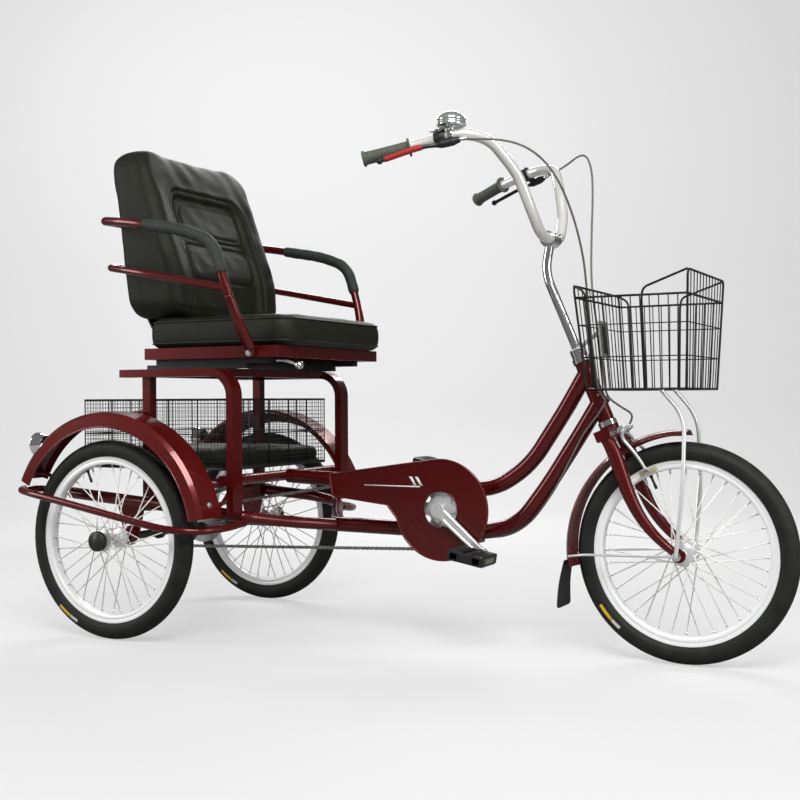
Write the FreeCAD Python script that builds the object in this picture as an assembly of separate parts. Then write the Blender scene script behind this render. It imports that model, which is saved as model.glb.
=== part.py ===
import FreeCAD, Part
import math
import os

os.makedirs("parts", exist_ok=True)

# A pedal tricycle with one steered front wheel, two rear wheels and a padded armchair over them.
# Millimetres. While it is drawn, x runs forward from the rear axle, y to the left, z up from the ground.
# At the end everything moves along x, so that the origin lies on the ground below the middle of the machine.

# Clearances and working values
RUN_FIT = 0.05          # radial play of a shaft in its bearing
SEAT_GAP = 0.3          # play between pieces that only lie against each other
SIDE_GAP = 0.5          # end play of something that turns between two faces
OVERRUN = 5.0           # how far a cutting tool reaches past what it cuts
ARC_SHARE = 0.45        # share of the shorter run that a bend takes up

# Wheels
WHEELBASE = 1361.5
TRACK = 692.0
WHEEL_R = 250.0         # outside of the tyre
TYRE_WIDTH = 47.0
TYRE_DEPTH = 41.0       # from the rim's edge to the tread
RIM_R = WHEEL_R - TYRE_DEPTH
RIM_DEPTH = 20.0
RIM_WIDTH = 28.0
RIM_WALL = 2.5
BEAD_DEPTH = 6.0
SPOKE_D = 2.4
SPOKE_COUNT = 36
SPOKE_LEAN = 62.0       # degrees between a spoke's foot and its nipple, seen from the side
FLANGE_R = 27.0
FLANGE_THICK = 3.0
FRONT_FLANGE_Y = 27.0
REAR_FLANGE_Y = 30.0
HUB_R = 14.0
FRONT_HUB_HALF = 36.0
REAR_HUB_HALF = 38.0
FRONT_AXLE_R = 5.0
SHAFT_R = 10.0          # rear shaft
SHAFT_END_Y = 396.0
HUB_CAP_R = 25.0
HUB_CAP_DEPTH = 16.0
COLLAR_R = 17.0
COLLAR_WIDTH = 14.0
COLLAR_Y = 160.0

# Steering
HEAD_LOW_X = 1185.0     # lower end of the head tube, on the steering axis
HEAD_LOW_Z = 534.0
HEAD_ANGLE = 67.0
HEAD_TUBE_R = 19.0
HEAD_BORE_R = 15.0
HEAD_LENGTH = 160.0
CUP_R = 22.0
CUP_HEIGHT = 12.0
RACE_HEIGHT = 9.0
LOCK_NUT_R = 19.0
LOCK_NUT_HEIGHT = 20.0
STEERER_R = 12.7
QUILL_R = 11.0
QUILL_TOP = 395.0       # along the axis from the lower end of the head tube
CLAMP_X = 1045.0
CLAMP_Z = 974.0
CLAMP_R = 19.0
CLAMP_WIDTH = 44.0
BAR_R = 12.7
BAR_POINTS = [(1045.0, 0.0, 974.0), (1044.0, 62.0, 978.0), (1036.0, 112.0, 1040.0), (1018.0, 140.0, 1110.0),
              (980.0, 208.0, 1180.0), (925.0, 246.0, 1193.0), (820.0, 266.0, 1170.0), (717.0, 316.0, 1142.0)]
GRIP_R = 15.5
GRIP_LENGTH = 112.0
GRIP_FLANGE_R = 21.0
GRIP_FLANGE = 5.0
GRIP_END = 4.0

# Brake levers, bell, front brake
PERCH_POINT = (880.0, 254.6, 1183.1)    # where the lever's clamp and the bell sit on the bar
PERCH_WAY = (-105.0, 20.0, -23.0)       # the bar's direction there
PERCH_R = 17.5
PERCH_WIDTH = 26.0
PIVOT_R = 8.0
LEVER_R = 5.0
LEVER_BALL_R = 7.5
LEVER_POINTS = [(931.0, 262.0, 1174.0), (890.0, 278.0, 1164.0), (844.0, 300.0, 1156.0), (762.0, 325.0, 1131.0)]
BELL_POINT = (904.0, 250.0, 1188.8)
BELL_R = 33.0
BELL_DOME = 22.0
BELL_SKIRT = 12.0
BELL_RISE = 20.0        # from the middle of the bar to the rim of the bell
BELL_STALK_R = 7.0
BELL_RING_WIDTH = 12.0
CALIPER_R = 4.0
CALIPER_BOLT = 34.0     # how far the bolt stands out from the crown
CALIPER_POINTS = [(1224.0, 38.0, 512.0), (1264.0, 46.0, 470.0)]
PAD_R = 199.0           # distance of the brake pads from the axle
PAD_TURN = 113.0        # degrees round the axle, from straight ahead
PAD_GAP = 5.0           # between a pad and the rim, brakes off
PAD_THICK = 8.0
PAD_DEEP = 10.0
PAD_LONG = 42.0
PAD_BOLT_R = 3.5
PAD_BOLT_LENGTH = 12.0

# Cables
CABLE_R = 2.5
FRONT_CABLE_POINTS = [(931.3, 261.9, 1174.1), (984.0, 252.0, 1190.0), (1050.0, 226.0, 1224.0),
                      (1082.0, 195.0, 1176.0), (1096.0, 160.0, 1095.0), (1110.0, 105.0, 985.0),
                      (1128.0, 48.0, 870.0), (1144.0, 36.0, 780.0), (1158.0, 34.0, 690.0), (1166.0, 30.0, 628.0),
                      (1173.0, 28.0, 600.0), (1208.0, 24.0, 577.0), (1236.0, 20.0, 562.0), (1232.0, 18.0, 543.0),
                      (1222.0, 17.0, 524.0)]
BAR_CABLE_POINTS = [(931.3, -261.9, 1174.1), (1008.0, -245.0, 1173.0), (1076.0, -220.0, 1152.0),
                    (1119.0, -180.0, 1104.0), (1143.0, -130.0, 1022.0), (1154.0, -85.0, 927.0),
                    (1149.0, -46.0, 852.0), (1154.0, -32.0, 742.0), (1162.0, -30.0, 677.0), (1168.0, -25.0, 620.0),
                    (1180.0, -20.0, 598.0)]
FRAME_CABLE_POINTS = [(1180.2, -19.9, 597.6), (1184.0, -18.4, 590.8), (1172.0, -26.0, 566.0),
                      (1152.0, -27.0, 541.0), (1134.0, -26.0, 518.0), (1110.0, -22.0, 478.0), (1054.0, -8.0, 378.5),
                      (968.0, 8.0, 277.0), (862.0, 12.0, 253.8), (440.0, 12.0, 257.8), (300.0, 20.0, 261.0),
                      (140.0, 34.0, 259.0), (60.3, 38.0, 257.0)]
BRAKE_DRUM_R = 46.0
BRAKE_DRUM_Y = 24.0
BRAKE_DRUM_WIDTH = 28.0
BRAKE_ARM_R = 6.0
BRAKE_ARM_RISE = 40.0
BRAKE_EAR = 14.0

# Fork
CROWN_WIDTH = 150.0
CROWN_DEPTH = 36.0
CROWN_HEIGHT = 24.0
BLADE_Y = 58.0
BLADE_TOP_R = 15.0
BLADE_END_R = 9.0
BLADE_STRAIGHT = 150.0  # how far the blades follow the steering axis before they curve forward
DROPOUT_THICK = 6.0
DROPOUT_R = 16.0
AXLE_NUT_R = 10.0
AXLE_NUT_LENGTH = 12.0

# Front mudguard, its flap and the wire stays
FRONT_GUARD_GAP = 27.0  # between the tread and the crown of the sheet
FRONT_GUARD_R = WHEEL_R + FRONT_GUARD_GAP
FRONT_GUARD_HALF = 33.0
FRONT_GUARD_DROP = 12.0
FRONT_GUARD_CROWN = ((1.0, 1.0), (0.33, 0.72), (0.0, 0.25))     # shares of the drop and of the half width
FRONT_GUARD_FROM = 88.0     # degrees round the front axle, from straight ahead through the top
FRONT_GUARD_TO = 190.0
SHEET = 1.6
FLAP_LENGTH = 112.0
FLAP_THICK = 2.5
FLAP_HALF_TOP = 30.0
FLAP_HALF_END = 46.0
STAY_R = 4.5            # the bars that carry the basket
GUARD_STAY_R = 3.0      # the bars that hold the mudguard
FLAP_OVERLAP = 4.0      # degrees of the mudguard that the flap covers
STAY_TURN = 6.0         # degrees from the end of the mudguard to its stays

# Front basket: its walls lean outwards, and all three sizes are taken where they pass the side rims
BASKET_FRONT_X = 1410.0
BASKET_REAR_X = 1161.0
BASKET_HALF = 161.0
BASKET_RIM_Z = 820.0
BASKET_REAR_RISE = 26.0     # how far the rear wall stands above the side rims
BASKET_FRONT_RISE = 51.0
BASKET_DEPTH = 202.0
FLOOR_FRONT_X = 1402.0
FLOOR_REAR_X = 1180.0
FLOOR_HALF = 140.0
BASKET_WIRE = 2.6
STAY_COLUMN = 5         # the floor wire that the stays reach, counted from the rear
STAY_LOW_BEND = (24.0, 150.0)   # behind the floor's front edge, above the axle
STAY_TOP_BEND = (26.0, 62.0)    # behind the floor's front edge, below the floor
GUARD_STAY_BEND = (40.0, 18.0, 8.0)
FLOOR_SHARES = [0.0, 0.25, 0.5, 0.75, 1.0]
FRONT_COLUMNS = 12
SIDE_COLUMNS = 8
BAND_SHARES = [0.0, 0.35, 0.7, 1.0]   # heights of the bands between the floor and the side rim
RIM_WIRE_R = 3.0
BASKET_STRAP_WIDTH = 34.0
BASKET_STRAP_THICK = 3.0
STRAP_DROP = 68.0

# Frame tubes
MAIN_TUBE_R = 19.0
TOP_TUBE_POINTS = [(1128.0, 0.0, 652.0), (1082.0, 0.0, 574.0), (992.0, 0.0, 440.0), (900.0, 0.0, 379.0),
                   (780.0, 0.0, 379.0), (306.0, 0.0, 398.0)]
DOWN_TUBE_POINTS = [(1172.0, 0.0, 604.0), (1120.0, 0.0, 520.0), (1035.0, 0.0, 390.0), (960.0, 0.0, 295.0),
                    (860.0, 0.0, 272.0), (440.0, 0.0, 276.0)]
RAIL_R = 15.0
RAIL_POINTS = [(455.0, 15.0, 276.0), (400.0, 90.0, 285.0), (318.0, 236.0, 310.0), (230.0, 262.0, 322.0),
               (-208.0, 262.0, 355.0)]
CROSS_BAR_R = 14.0
CROSS_BAR_SEAT = 3.0    # how deep the legs of the stand sit in the cross bar
CROSS_BAR_Z = 399.0
CROSS_BAR_HALF = 286.0

# Rear shaft bearings, held below the side rails
BEARING_Y = 286.0
BEARING_R = 22.0
BEARING_WIDTH = 26.0
HANGER_THICK = 6.0
HANGER_TOP_HALF = 45.0

# Drive
CRANK_X = 784.0
CRANK_Z = 330.0
CRANK_LENGTH = 152.0
CRANK_ANGLE = 40.0      # degrees that the right crank arm points below straight ahead
CHAIN_Y = 48.0
RING_TEETH = 48
SPROCKET_TEETH = 24
PITCH = 12.7
RING_THICK = 3.0
CHAIN_HALF_HEIGHT = 4.2
TOOTH_CUT = CHAIN_HALF_HEIGHT + SEAT_GAP    # the teeth stop just inside the chain that lies on them
CHAIN_WIDTH = 8.0
SPIDER_R = 62.0
SHELL_R = 21.0
SHELL_HALF = 34.0
SPINDLE_R = 8.5
ARM_Y = 80.0
ARM_THICK = 13.0
ARM_BOSS_R = 19.0
ARM_END_R = 13.0
PEDAL_Y = 140.0
PEDAL_WIDTH = 92.0
PEDAL_LENGTH = 88.0
PEDAL_HEIGHT = 26.0
PEDAL_WALL = 10.0
PEDAL_AXLE_R = 4.5
PEDAL_SLEEVE_R = 11.0
PEDAL_TILT = 10.0
CRANK_LOBES = 6
SPROCKET_BOSS_R = 20.0
BOSS_SHARE = 0.75       # half the crank arm's width at its boss, as a share of the boss's radius
EYE_SHARE = 0.8

# Chain guard
GUARD_Y = 66.0
GUARD_DEPTH = 9.0
GUARD_R = 122.0
GUARD_HOLE_R = 45.0
GUARD_REAR_X = 471.0
GUARD_REAR_TOP_Z = 409.0
GUARD_REAR_LOW_X = 479.0
GUARD_REAR_LOW_Z = 355.0
GUARD_MID_X = 636.0
GUARD_MID_Z = 338.0
GUARD_NECK_X = 665.0
TAB_THICK = 12.0
GUARD_LOW_TURN = 45.0   # degrees below straight ahead: a point on the guard's round end
TAB_TURN = 42.0

# Seat stand
STAND_Y = 260.0
STAND_WIDTH = 40.0
STAND_HEIGHT = 20.0
STAND_TOP_Z = 668.0
STAND_REAR_X = -30.0
STAND_LEG_X = 315.0
STAND_BEND_R = 60.0
STAND_FOOT_Z = 318.0
UPRIGHT_X = 41.0
UPRIGHT_Y = 247.0
UPRIGHT_SIZE = 25.0
UPRIGHT_FOOT_Z = 316.0
SEAT_CROSS_WIDTH = 30.0
SEAT_CROSS_FRONT_X = 261.0

# Seat slides and frame
SLIDE_Y = 206.0
SLIDE_WIDTH = 24.0
SLIDE_HEIGHT = 12.0
SLIDE_REAR_X = 10.0
SLIDE_FRONT_X = 322.0
RUNNER_REAR_X = 40.0
RUNNER_FRONT_X = 392.0
RUNNER_HEIGHT = 13.0
SEAT_REAR_X = 24.0
SEAT_FRONT_X = 438.0
SEAT_HALF = 245.0
SEAT_BAR = 25.0
SEAT_PAN = 4.0

# Upholstery
CUSHION_REAR_X = 42.0
CUSHION_FRONT_X = 445.0
CUSHION_HALF = 240.0
CUSHION_HEIGHT = 74.0
CUSHION_ROUND = 22.0
BACK_HALF = 235.0
BACK_CORNER = 70.0
BACK_PROFILE = [(-22.0, 812.0), (-36.0, 856.0), (-69.0, 1104.0), (-94.0, 1205.0), (-90.0, 1240.0),
                (-55.0, 1260.0), (-12.0, 1250.0), (17.0, 1211.0), (44.0, 1114.0), (110.0, 931.0),
                (118.0, 850.0), (100.0, 812.0)]

# Armrests
ARM_TUBE_R = 11.0
ARM_LOW_R = 9.0
SLEEVE_R = 15.5
BACK_BAR_HALF = 225.0
BACK_BAR_STRAIGHT = 30.0    # how far the armrests carry on straight from the back bars
UPPER_BAR_Z = 1065.0
LOWER_BAR_Z = 946.0
ARM_UPPER_POINTS = [(-62.0, 302.0, 1061.0), (40.0, 322.0, 1048.0), (218.0, 322.0, 1015.0), (300.0, 322.0, 982.0),
                    (325.0, 322.0, 905.0), (350.0, 312.0, 820.0), (368.0, 262.0, 727.0)]
SLEEVE_FROM_X = 89.0
SLEEVE_TO_Z = 905.0
ARM_LOWER_POINTS = [(-45.0, 300.0, 940.0), (60.0, 322.0, 922.0), (338.0, 317.0, 868.0)]
BRACKET_Y = 150.0
BRACKET_WIDTH = 40.0
BRACKET_THICK = 5.0

# Rear basket
REAR_BASKET_REAR_X = -190.0
REAR_BASKET_FRONT_X = 275.0
REAR_BASKET_HALF = UPRIGHT_Y - UPRIGHT_SIZE / 2 - BASKET_WIRE - SEAT_GAP
REAR_COLUMNS = 10
REAR_BASKET_RIM_Z = 600.0
REAR_BASKET_FLOOR_Z = 424.0
PAD_HEIGHT = 46.0
PAD_ROUND = 14.0

# Rear mudguards, lamps and side bars
REAR_GUARD_X = 10.0
REAR_GUARD_RISE = 12.0  # its centre above the axle
REAR_GUARD_GAP = 58.0   # its radius beyond the wheel's
REAR_GUARD_Z = WHEEL_R + REAR_GUARD_RISE
REAR_GUARD_R = WHEEL_R + REAR_GUARD_GAP
REAR_GUARD_INNER_Y = 302.0
REAR_GUARD_OUTER_Y = 394.0
REAR_GUARD_LIP = 36.0
REAR_GUARD_FROM = 10.0
REAR_GUARD_TO = 154.0
GUARD_ARM_TURN = 4.0    # degrees from the ends of a rear mudguard to its arms
GUARD_ARM_R = 5.0
LAMP_R = 31.0
LAMP_FRONT_R = 22.0
LAMP_Y = 338.0
LAMP_Z = 486.0
LAMP_REAR_X = -256.0
LAMP_DEPTH = 30.0
LAMP_STALK_R = 9.0
SIDE_BAR_R = 9.0
SIDE_BAR_POINTS = [(330.0, 236.0, 296.0), (322.0, 300.0, 288.0), (290.0, 375.0, 284.0), (215.0, 410.0, 290.0),
                   (-215.0, 410.0, 364.0), (-278.0, 385.0, 370.0), (-284.0, 310.0, 369.0), (-205.0, 262.0, 356.0)]

V = FreeCAD.Vector
UP = V(0, 0, 1)
LEFT = V(0, 1, 0)
FORWARD = V(1, 0, 0)
FRONT_AXLE = V(WHEELBASE, 0, WHEEL_R)
REAR_AXLE = V(0, 0, WHEEL_R)
CRANK = V(CRANK_X, 0, CRANK_Z)
HEAD_LOW = V(HEAD_LOW_X, 0, HEAD_LOW_Z)
HEAD_UP = V(-math.cos(math.radians(HEAD_ANGLE)), 0, math.sin(math.radians(HEAD_ANGLE)))
BASKET_FLOOR_Z = BASKET_RIM_Z - BASKET_DEPTH
CROSS_BAR_X = STAND_LEG_X - STAND_HEIGHT / 2 - CROSS_BAR_R + CROSS_BAR_SEAT
nodes = {}


def put(name, *solids):
    """Keep the solids of one node under its name."""
    nodes[name] = Part.makeCompound(list(solids)) if len(solids) > 1 else solids[0]


def fuse(*shapes):
    return shapes[0].multiFuse(list(shapes[1:])).removeSplitter()


def mirrored(shape):
    return shape.mirror(V(0, 0, 0), LEFT)


def rod(start, end, radius):
    """A round bar between two points."""
    return Part.makeCylinder(radius, (end - start).Length, start, end - start)


def pipe(start, end, radius, bore):
    line = (end - start).normalize() * OVERRUN
    return rod(start, end, radius).cut(rod(start - line, end + line, bore))


def block(low, high):
    """A rectangular block between two corners."""
    size = high - low
    return Part.makeBox(size.x, size.y, size.z, low)


def points(table):
    return [V(*row) for row in table]


def rounded_path(corners, radius=None):
    """Straight runs joined by tangent arcs. Without a radius, each arc is as large as its runs allow."""
    edges, radii, start = [], [], corners[0]
    for before, corner, after in zip(corners, corners[1:], corners[2:]):
        back, ahead = before - corner, after - corner
        run = min(back.Length, ahead.Length)
        back.normalize()
        ahead.normalize()
        half_turn = (math.pi - back.getAngle(ahead)) / 2
        trim = radius * math.tan(half_turn) if radius else ARC_SHARE * run
        bend = trim / math.tan(half_turn)
        inward = (back + ahead).normalize()
        middle = corner + inward * (bend / math.cos(half_turn) - bend)
        edges.append(Part.LineSegment(start, corner + back * trim).toShape())
        edges.append(Part.Arc(corner + back * trim, middle, corner + ahead * trim).toShape())
        start = corner + ahead * trim
        radii.append(bend)
    edges.append(Part.LineSegment(start, corners[-1]).toShape())
    return Part.Wire(edges), radii


def bent_bar(corners, radius, bend=None):
    """A round bar along a bent path."""
    path, radii = rounded_path(corners, bend)
    section = Part.Wire(Part.makeCircle(radius, corners[0], corners[1] - corners[0]))
    return path.makePipeShell([section], True, False)


def ring(profile, centre):
    """Turn a profile of (distance from the axis, sideways) points round an axle."""
    corners = [centre + V(r, y, 0) for r, y in profile]
    face = Part.Face(Part.makePolygon(corners + corners[:1]))
    return face.revolve(centre, LEFT, 360)


def sheet_along(corners, thick, half_low, half_high, side):
    """A thin strip that starts at one line and ends at another, its width changing on the way."""
    low, high = corners
    outline = [low - LEFT * half_low, low + LEFT * half_low, high + LEFT * half_high, high - LEFT * half_high]
    return Part.Face(Part.makePolygon(outline + outline[:1])).extrude(side * thick)


# Wheels

def tyre(centre):
    """A round tyre section that sits on the rim, with its bead between the rim's edges."""
    half = TYRE_WIDTH / 2
    middle_r = WHEEL_R - half
    seat_r = RIM_R + SEAT_GAP
    bead_half = RIM_WIDTH / 2 - RIM_WALL - SEAT_GAP
    foot = math.asin((middle_r - seat_r) / half)
    steps = 10
    profile = []
    for i in range(steps + 1):
        angle = -foot + (math.pi + 2 * foot) * i / steps
        profile.append((middle_r + half * math.sin(angle), half * math.cos(angle)))
    bead_r = RIM_R - BEAD_DEPTH + SEAT_GAP
    profile += [(seat_r, -bead_half), (bead_r, -bead_half), (bead_r, bead_half), (seat_r, bead_half)]
    return ring(profile, centre)


def rim(centre):
    """A box rim with raised edges that hold the bead."""
    half = RIM_WIDTH / 2
    inside = half - RIM_WALL
    floor_r = RIM_R - BEAD_DEPTH
    inner_r = RIM_R - RIM_DEPTH
    return ring([(RIM_R, half), (RIM_R, inside), (floor_r, inside), (floor_r, -inside), (RIM_R, -inside),
                 (RIM_R, -half), (inner_r + RIM_WALL, -half), (inner_r, -half + RIM_WALL),
                 (inner_r, half - RIM_WALL), (inner_r + RIM_WALL, half)], centre)


def spokes(centre, flange_y):
    """Crossed spokes from both flanges to the middle of the rim."""
    bars = []
    foot_r = FLANGE_R - FLANGE_THICK
    nipple_r = RIM_R - RIM_DEPTH + RIM_WALL
    for i in range(SPOKE_COUNT):
        side = 1 if i % 2 else -1
        lean = SPOKE_LEAN if (i // 2) % 2 else -SPOKE_LEAN
        end = math.radians(360 * i / SPOKE_COUNT)
        start = end + math.radians(lean)
        outward = SPOKE_D / 2 if lean > 0 else -SPOKE_D / 2
        foot = centre + V(foot_r * math.cos(start), side * (flange_y + outward), foot_r * math.sin(start))
        nipple = centre + V(nipple_r * math.cos(end), 0, nipple_r * math.sin(end))
        bars.append(rod(foot, nipple, SPOKE_D / 2))
    return bars


def wheel(centre, flange_y, hub_half, bore):
    """Hub barrel, two flanges, spokes and rim in one piece."""
    barrel = rod(centre - LEFT * hub_half, centre + LEFT * hub_half, HUB_R)
    flanges = [rod(centre + LEFT * (side * flange_y - FLANGE_THICK / 2),
                   centre + LEFT * (side * flange_y + FLANGE_THICK / 2), FLANGE_R) for side in (-1, 1)]
    whole = barrel.multiFuse(flanges + spokes(centre, flange_y) + [rim(centre)])
    reach = LEFT * (hub_half + OVERRUN)
    return whole.cut(rod(centre - reach, centre + reach, bore))


def make_wheels():
    put("front_tyre", tyre(FRONT_AXLE))
    put("front_wheel", wheel(FRONT_AXLE, FRONT_FLANGE_Y, FRONT_HUB_HALF, FRONT_AXLE_R + RUN_FIT))
    for name, side in (("left", 1), ("right", -1)):
        centre = REAR_AXLE + LEFT * (side * TRACK / 2)
        put("rear_tyre_" + name, tyre(centre))
        bore = SHAFT_R if side > 0 else SHAFT_R + RUN_FIT
        put("rear_wheel_" + name, wheel(centre, REAR_FLANGE_Y, REAR_HUB_HALF, bore))
    shaft = rod(REAR_AXLE - LEFT * SHAFT_END_Y, REAR_AXLE + LEFT * SHAFT_END_Y, SHAFT_R)
    collars = [pipe(REAR_AXLE + LEFT * (y - COLLAR_WIDTH / 2), REAR_AXLE + LEFT * (y + COLLAR_WIDTH / 2),
                    COLLAR_R, SHAFT_R) for y in (-COLLAR_Y, COLLAR_Y)]
    caps = [rod(REAR_AXLE + LEFT * side * (SHAFT_END_Y - OVERRUN),
                REAR_AXLE + LEFT * side * (SHAFT_END_Y - OVERRUN + HUB_CAP_DEPTH), HUB_CAP_R)
            for side in (-1, 1)]
    put("rear_shaft", fuse(shaft, *collars, *caps))


# Steering

def on_axis(distance):
    """A point on the steering axis, measured up from the lower end of the head tube."""
    return HEAD_LOW + HEAD_UP * distance


def make_head():
    top = HEAD_LENGTH + CUP_HEIGHT
    put("head_tube", pipe(on_axis(CUP_HEIGHT), on_axis(HEAD_LENGTH), HEAD_TUBE_R, HEAD_BORE_R))
    put("headset_cups", pipe(on_axis(0), on_axis(CUP_HEIGHT), CUP_R, STEERER_R + RUN_FIT),
        pipe(on_axis(HEAD_LENGTH), on_axis(top), CUP_R, STEERER_R + RUN_FIT))
    nut_low = top + SIDE_GAP
    nut_top = nut_low + LOCK_NUT_HEIGHT
    nut = pipe(on_axis(nut_low), on_axis(nut_top), LOCK_NUT_R, STEERER_R)
    quill_corners = [on_axis(nut_top), on_axis(QUILL_TOP), V(CLAMP_X, 0, CLAMP_Z)]
    quill = bent_bar(quill_corners, QUILL_R)
    clamp = rod(V(CLAMP_X, -CLAMP_WIDTH / 2, CLAMP_Z), V(CLAMP_X, CLAMP_WIDTH / 2, CLAMP_Z), CLAMP_R)
    bar_corners = points(BAR_POINTS)
    half_bar = bent_bar(bar_corners, BAR_R)
    bar = fuse(half_bar, mirrored(half_bar))
    put("handlebar", bar)
    put("stem", fuse(quill, clamp, nut).cut(bar))
    end = bar_corners[-1]
    along = (end - bar_corners[-2]).normalize()
    grip_start = end - along * (GRIP_LENGTH - GRIP_END)
    cover = rod(grip_start, end + along * GRIP_END, GRIP_R)
    flange = rod(grip_start, grip_start + along * GRIP_FLANGE, GRIP_FLANGE_R)
    grip = fuse(cover, flange).cut(half_bar)
    put("grips", grip, mirrored(grip))


def fork_blade():
    """A tapered blade that follows the steering axis and then curves forward to the axle."""
    top = on_axis(-RACE_HEIGHT - CROWN_HEIGHT / 2) + LEFT * BLADE_Y
    straight_end = top - HEAD_UP * BLADE_STRAIGHT
    foot = FRONT_AXLE + LEFT * BLADE_Y
    along = (straight_end - top).normalize()
    curve = Part.BezierCurve()
    middle = straight_end + along * ((foot - straight_end).Length / 2)
    curve.setPoles([straight_end, middle, foot])
    sections = [Part.Wire(Part.makeCircle(BLADE_TOP_R, top, along)),
                Part.Wire(Part.makeCircle(BLADE_TOP_R, straight_end, along))]
    stations = 3
    for i in range(1, stations + 1):
        share = i / stations
        radius = BLADE_TOP_R + (BLADE_END_R - BLADE_TOP_R) * share
        sections.append(Part.Wire(Part.makeCircle(radius, curve.value(share), curve.tangent(share)[0])))
    return Part.makeLoft(sections, True, False)


def make_fork():
    crown_top = on_axis(-RACE_HEIGHT)
    crown = Part.makeBox(CROWN_DEPTH, CROWN_WIDTH, CROWN_HEIGHT, V(-CROWN_DEPTH / 2, -CROWN_WIDTH / 2, -CROWN_HEIGHT))
    crown.rotate(V(0, 0, 0), LEFT, HEAD_ANGLE - 90)
    crown.translate(crown_top)
    steerer = rod(crown_top, on_axis(HEAD_LENGTH + CUP_HEIGHT + SIDE_GAP + LOCK_NUT_HEIGHT), STEERER_R)
    race = rod(crown_top, on_axis(-SIDE_GAP), CUP_R)
    blades, tips = [], []
    for side in (1, -1):
        blade = fork_blade() if side > 0 else mirrored(fork_blade())
        inner_y = side * BLADE_Y - DROPOUT_THICK / 2
        tip = rod(FRONT_AXLE + LEFT * inner_y, FRONT_AXLE + LEFT * (inner_y + DROPOUT_THICK), DROPOUT_R)
        blades.append(blade)
        tips.append(tip)
    reach = LEFT * (BLADE_Y + BLADE_TOP_R + OVERRUN)
    whole = fuse(steerer, race, crown, *blades, *tips)
    put("fork", whole.cut(rod(FRONT_AXLE - reach, FRONT_AXLE + reach, FRONT_AXLE_R)))
    nut_y = BLADE_Y + BLADE_END_R + SEAT_GAP
    axle = rod(FRONT_AXLE - LEFT * (nut_y + AXLE_NUT_LENGTH), FRONT_AXLE + LEFT * (nut_y + AXLE_NUT_LENGTH),
               FRONT_AXLE_R)
    nuts = [rod(FRONT_AXLE + LEFT * side * nut_y, FRONT_AXLE + LEFT * side * (nut_y + AXLE_NUT_LENGTH),
                AXLE_NUT_R) for side in (-1, 1)]
    put("front_axle", fuse(axle, *nuts))


def arc_strip(centre, radius, half, drop, start, end):
    """A mudguard: a crowned strip of sheet turned round an axle between two angles."""
    crown = [(radius - drop * down, half * out) for down, out in FRONT_GUARD_CROWN]
    outer = crown + [(r, -y) for r, y in reversed(crown)]
    inner = [(r - SHEET, y * (1 - SHEET / half)) for r, y in reversed(outer)]
    corners = [centre + V(r, y, 0) for r, y in outer + inner]
    face = Part.Face(Part.makePolygon(corners + corners[:1]))
    face.rotate(centre, LEFT, -start)
    return face.revolve(centre, -LEFT, end - start)


def on_arc(centre, radius, degrees, y=0.0):
    angle = math.radians(degrees)
    return centre + V(radius * math.cos(angle), y, radius * math.sin(angle))


def make_front_guard():
    guard = arc_strip(FRONT_AXLE, FRONT_GUARD_R, FRONT_GUARD_HALF, FRONT_GUARD_DROP, FRONT_GUARD_FROM, FRONT_GUARD_TO)
    put("front_mudguard", guard)
    low = on_arc(FRONT_AXLE, FRONT_GUARD_R + SEAT_GAP, FRONT_GUARD_TO - FLAP_OVERLAP)
    drop = V(0, 0, -FLAP_LENGTH)
    drop = drop + V(-FLAP_LENGTH * math.sin(math.radians(FRONT_GUARD_TO - 180)) / 2, 0, 0)
    side = V(-1, 0, 0)
    put("mud_flap", sheet_along((low, low + drop), FLAP_THICK, FLAP_HALF_TOP, FLAP_HALF_END, side))


def make_front_stays():
    """The bars that carry the basket on the axle, cut level under its floor, and those of the mudguard."""
    stay_y = BLADE_Y + BLADE_END_R + AXLE_NUT_LENGTH + STAY_R + 2 * SEAT_GAP
    top_x = FLOOR_REAR_X + (FLOOR_FRONT_X - FLOOR_REAR_X) * STAY_COLUMN / SIDE_COLUMNS
    above = block(V(FLOOR_REAR_X, -BASKET_HALF, BASKET_FLOOR_Z - SEAT_GAP), V(FLOOR_FRONT_X, BASKET_HALF, BASKET_RIM_Z))
    basket, guard = [], []
    for side in (1, -1):
        foot = FRONT_AXLE + LEFT * side * stay_y
        stay = bent_bar([foot, V(FLOOR_FRONT_X - STAY_LOW_BEND[0], side * stay_y, WHEEL_R + STAY_LOW_BEND[1]),
                         V(FLOOR_FRONT_X - STAY_TOP_BEND[0], side * BLADE_Y, BASKET_FLOOR_Z - STAY_TOP_BEND[1]),
                         V(top_x, side * BLADE_Y, BASKET_FLOOR_Z + STAY_R)], STAY_R)
        basket.append(stay.cut(above))
        rear = on_arc(FRONT_AXLE, FRONT_GUARD_R - FRONT_GUARD_DROP, FRONT_GUARD_TO - STAY_TURN,
                      side * FRONT_GUARD_HALF)
        ahead, outward, up = GUARD_STAY_BEND
        guard.append(bent_bar([rear, rear + V(ahead, side * outward, up), foot - V(STAY_R + SEAT_GAP, 0, 0)],
                              GUARD_STAY_R))
    put("front_stays", *basket, *guard)


def closed(corners):
    return Part.makePolygon(corners + corners[:1])


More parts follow.
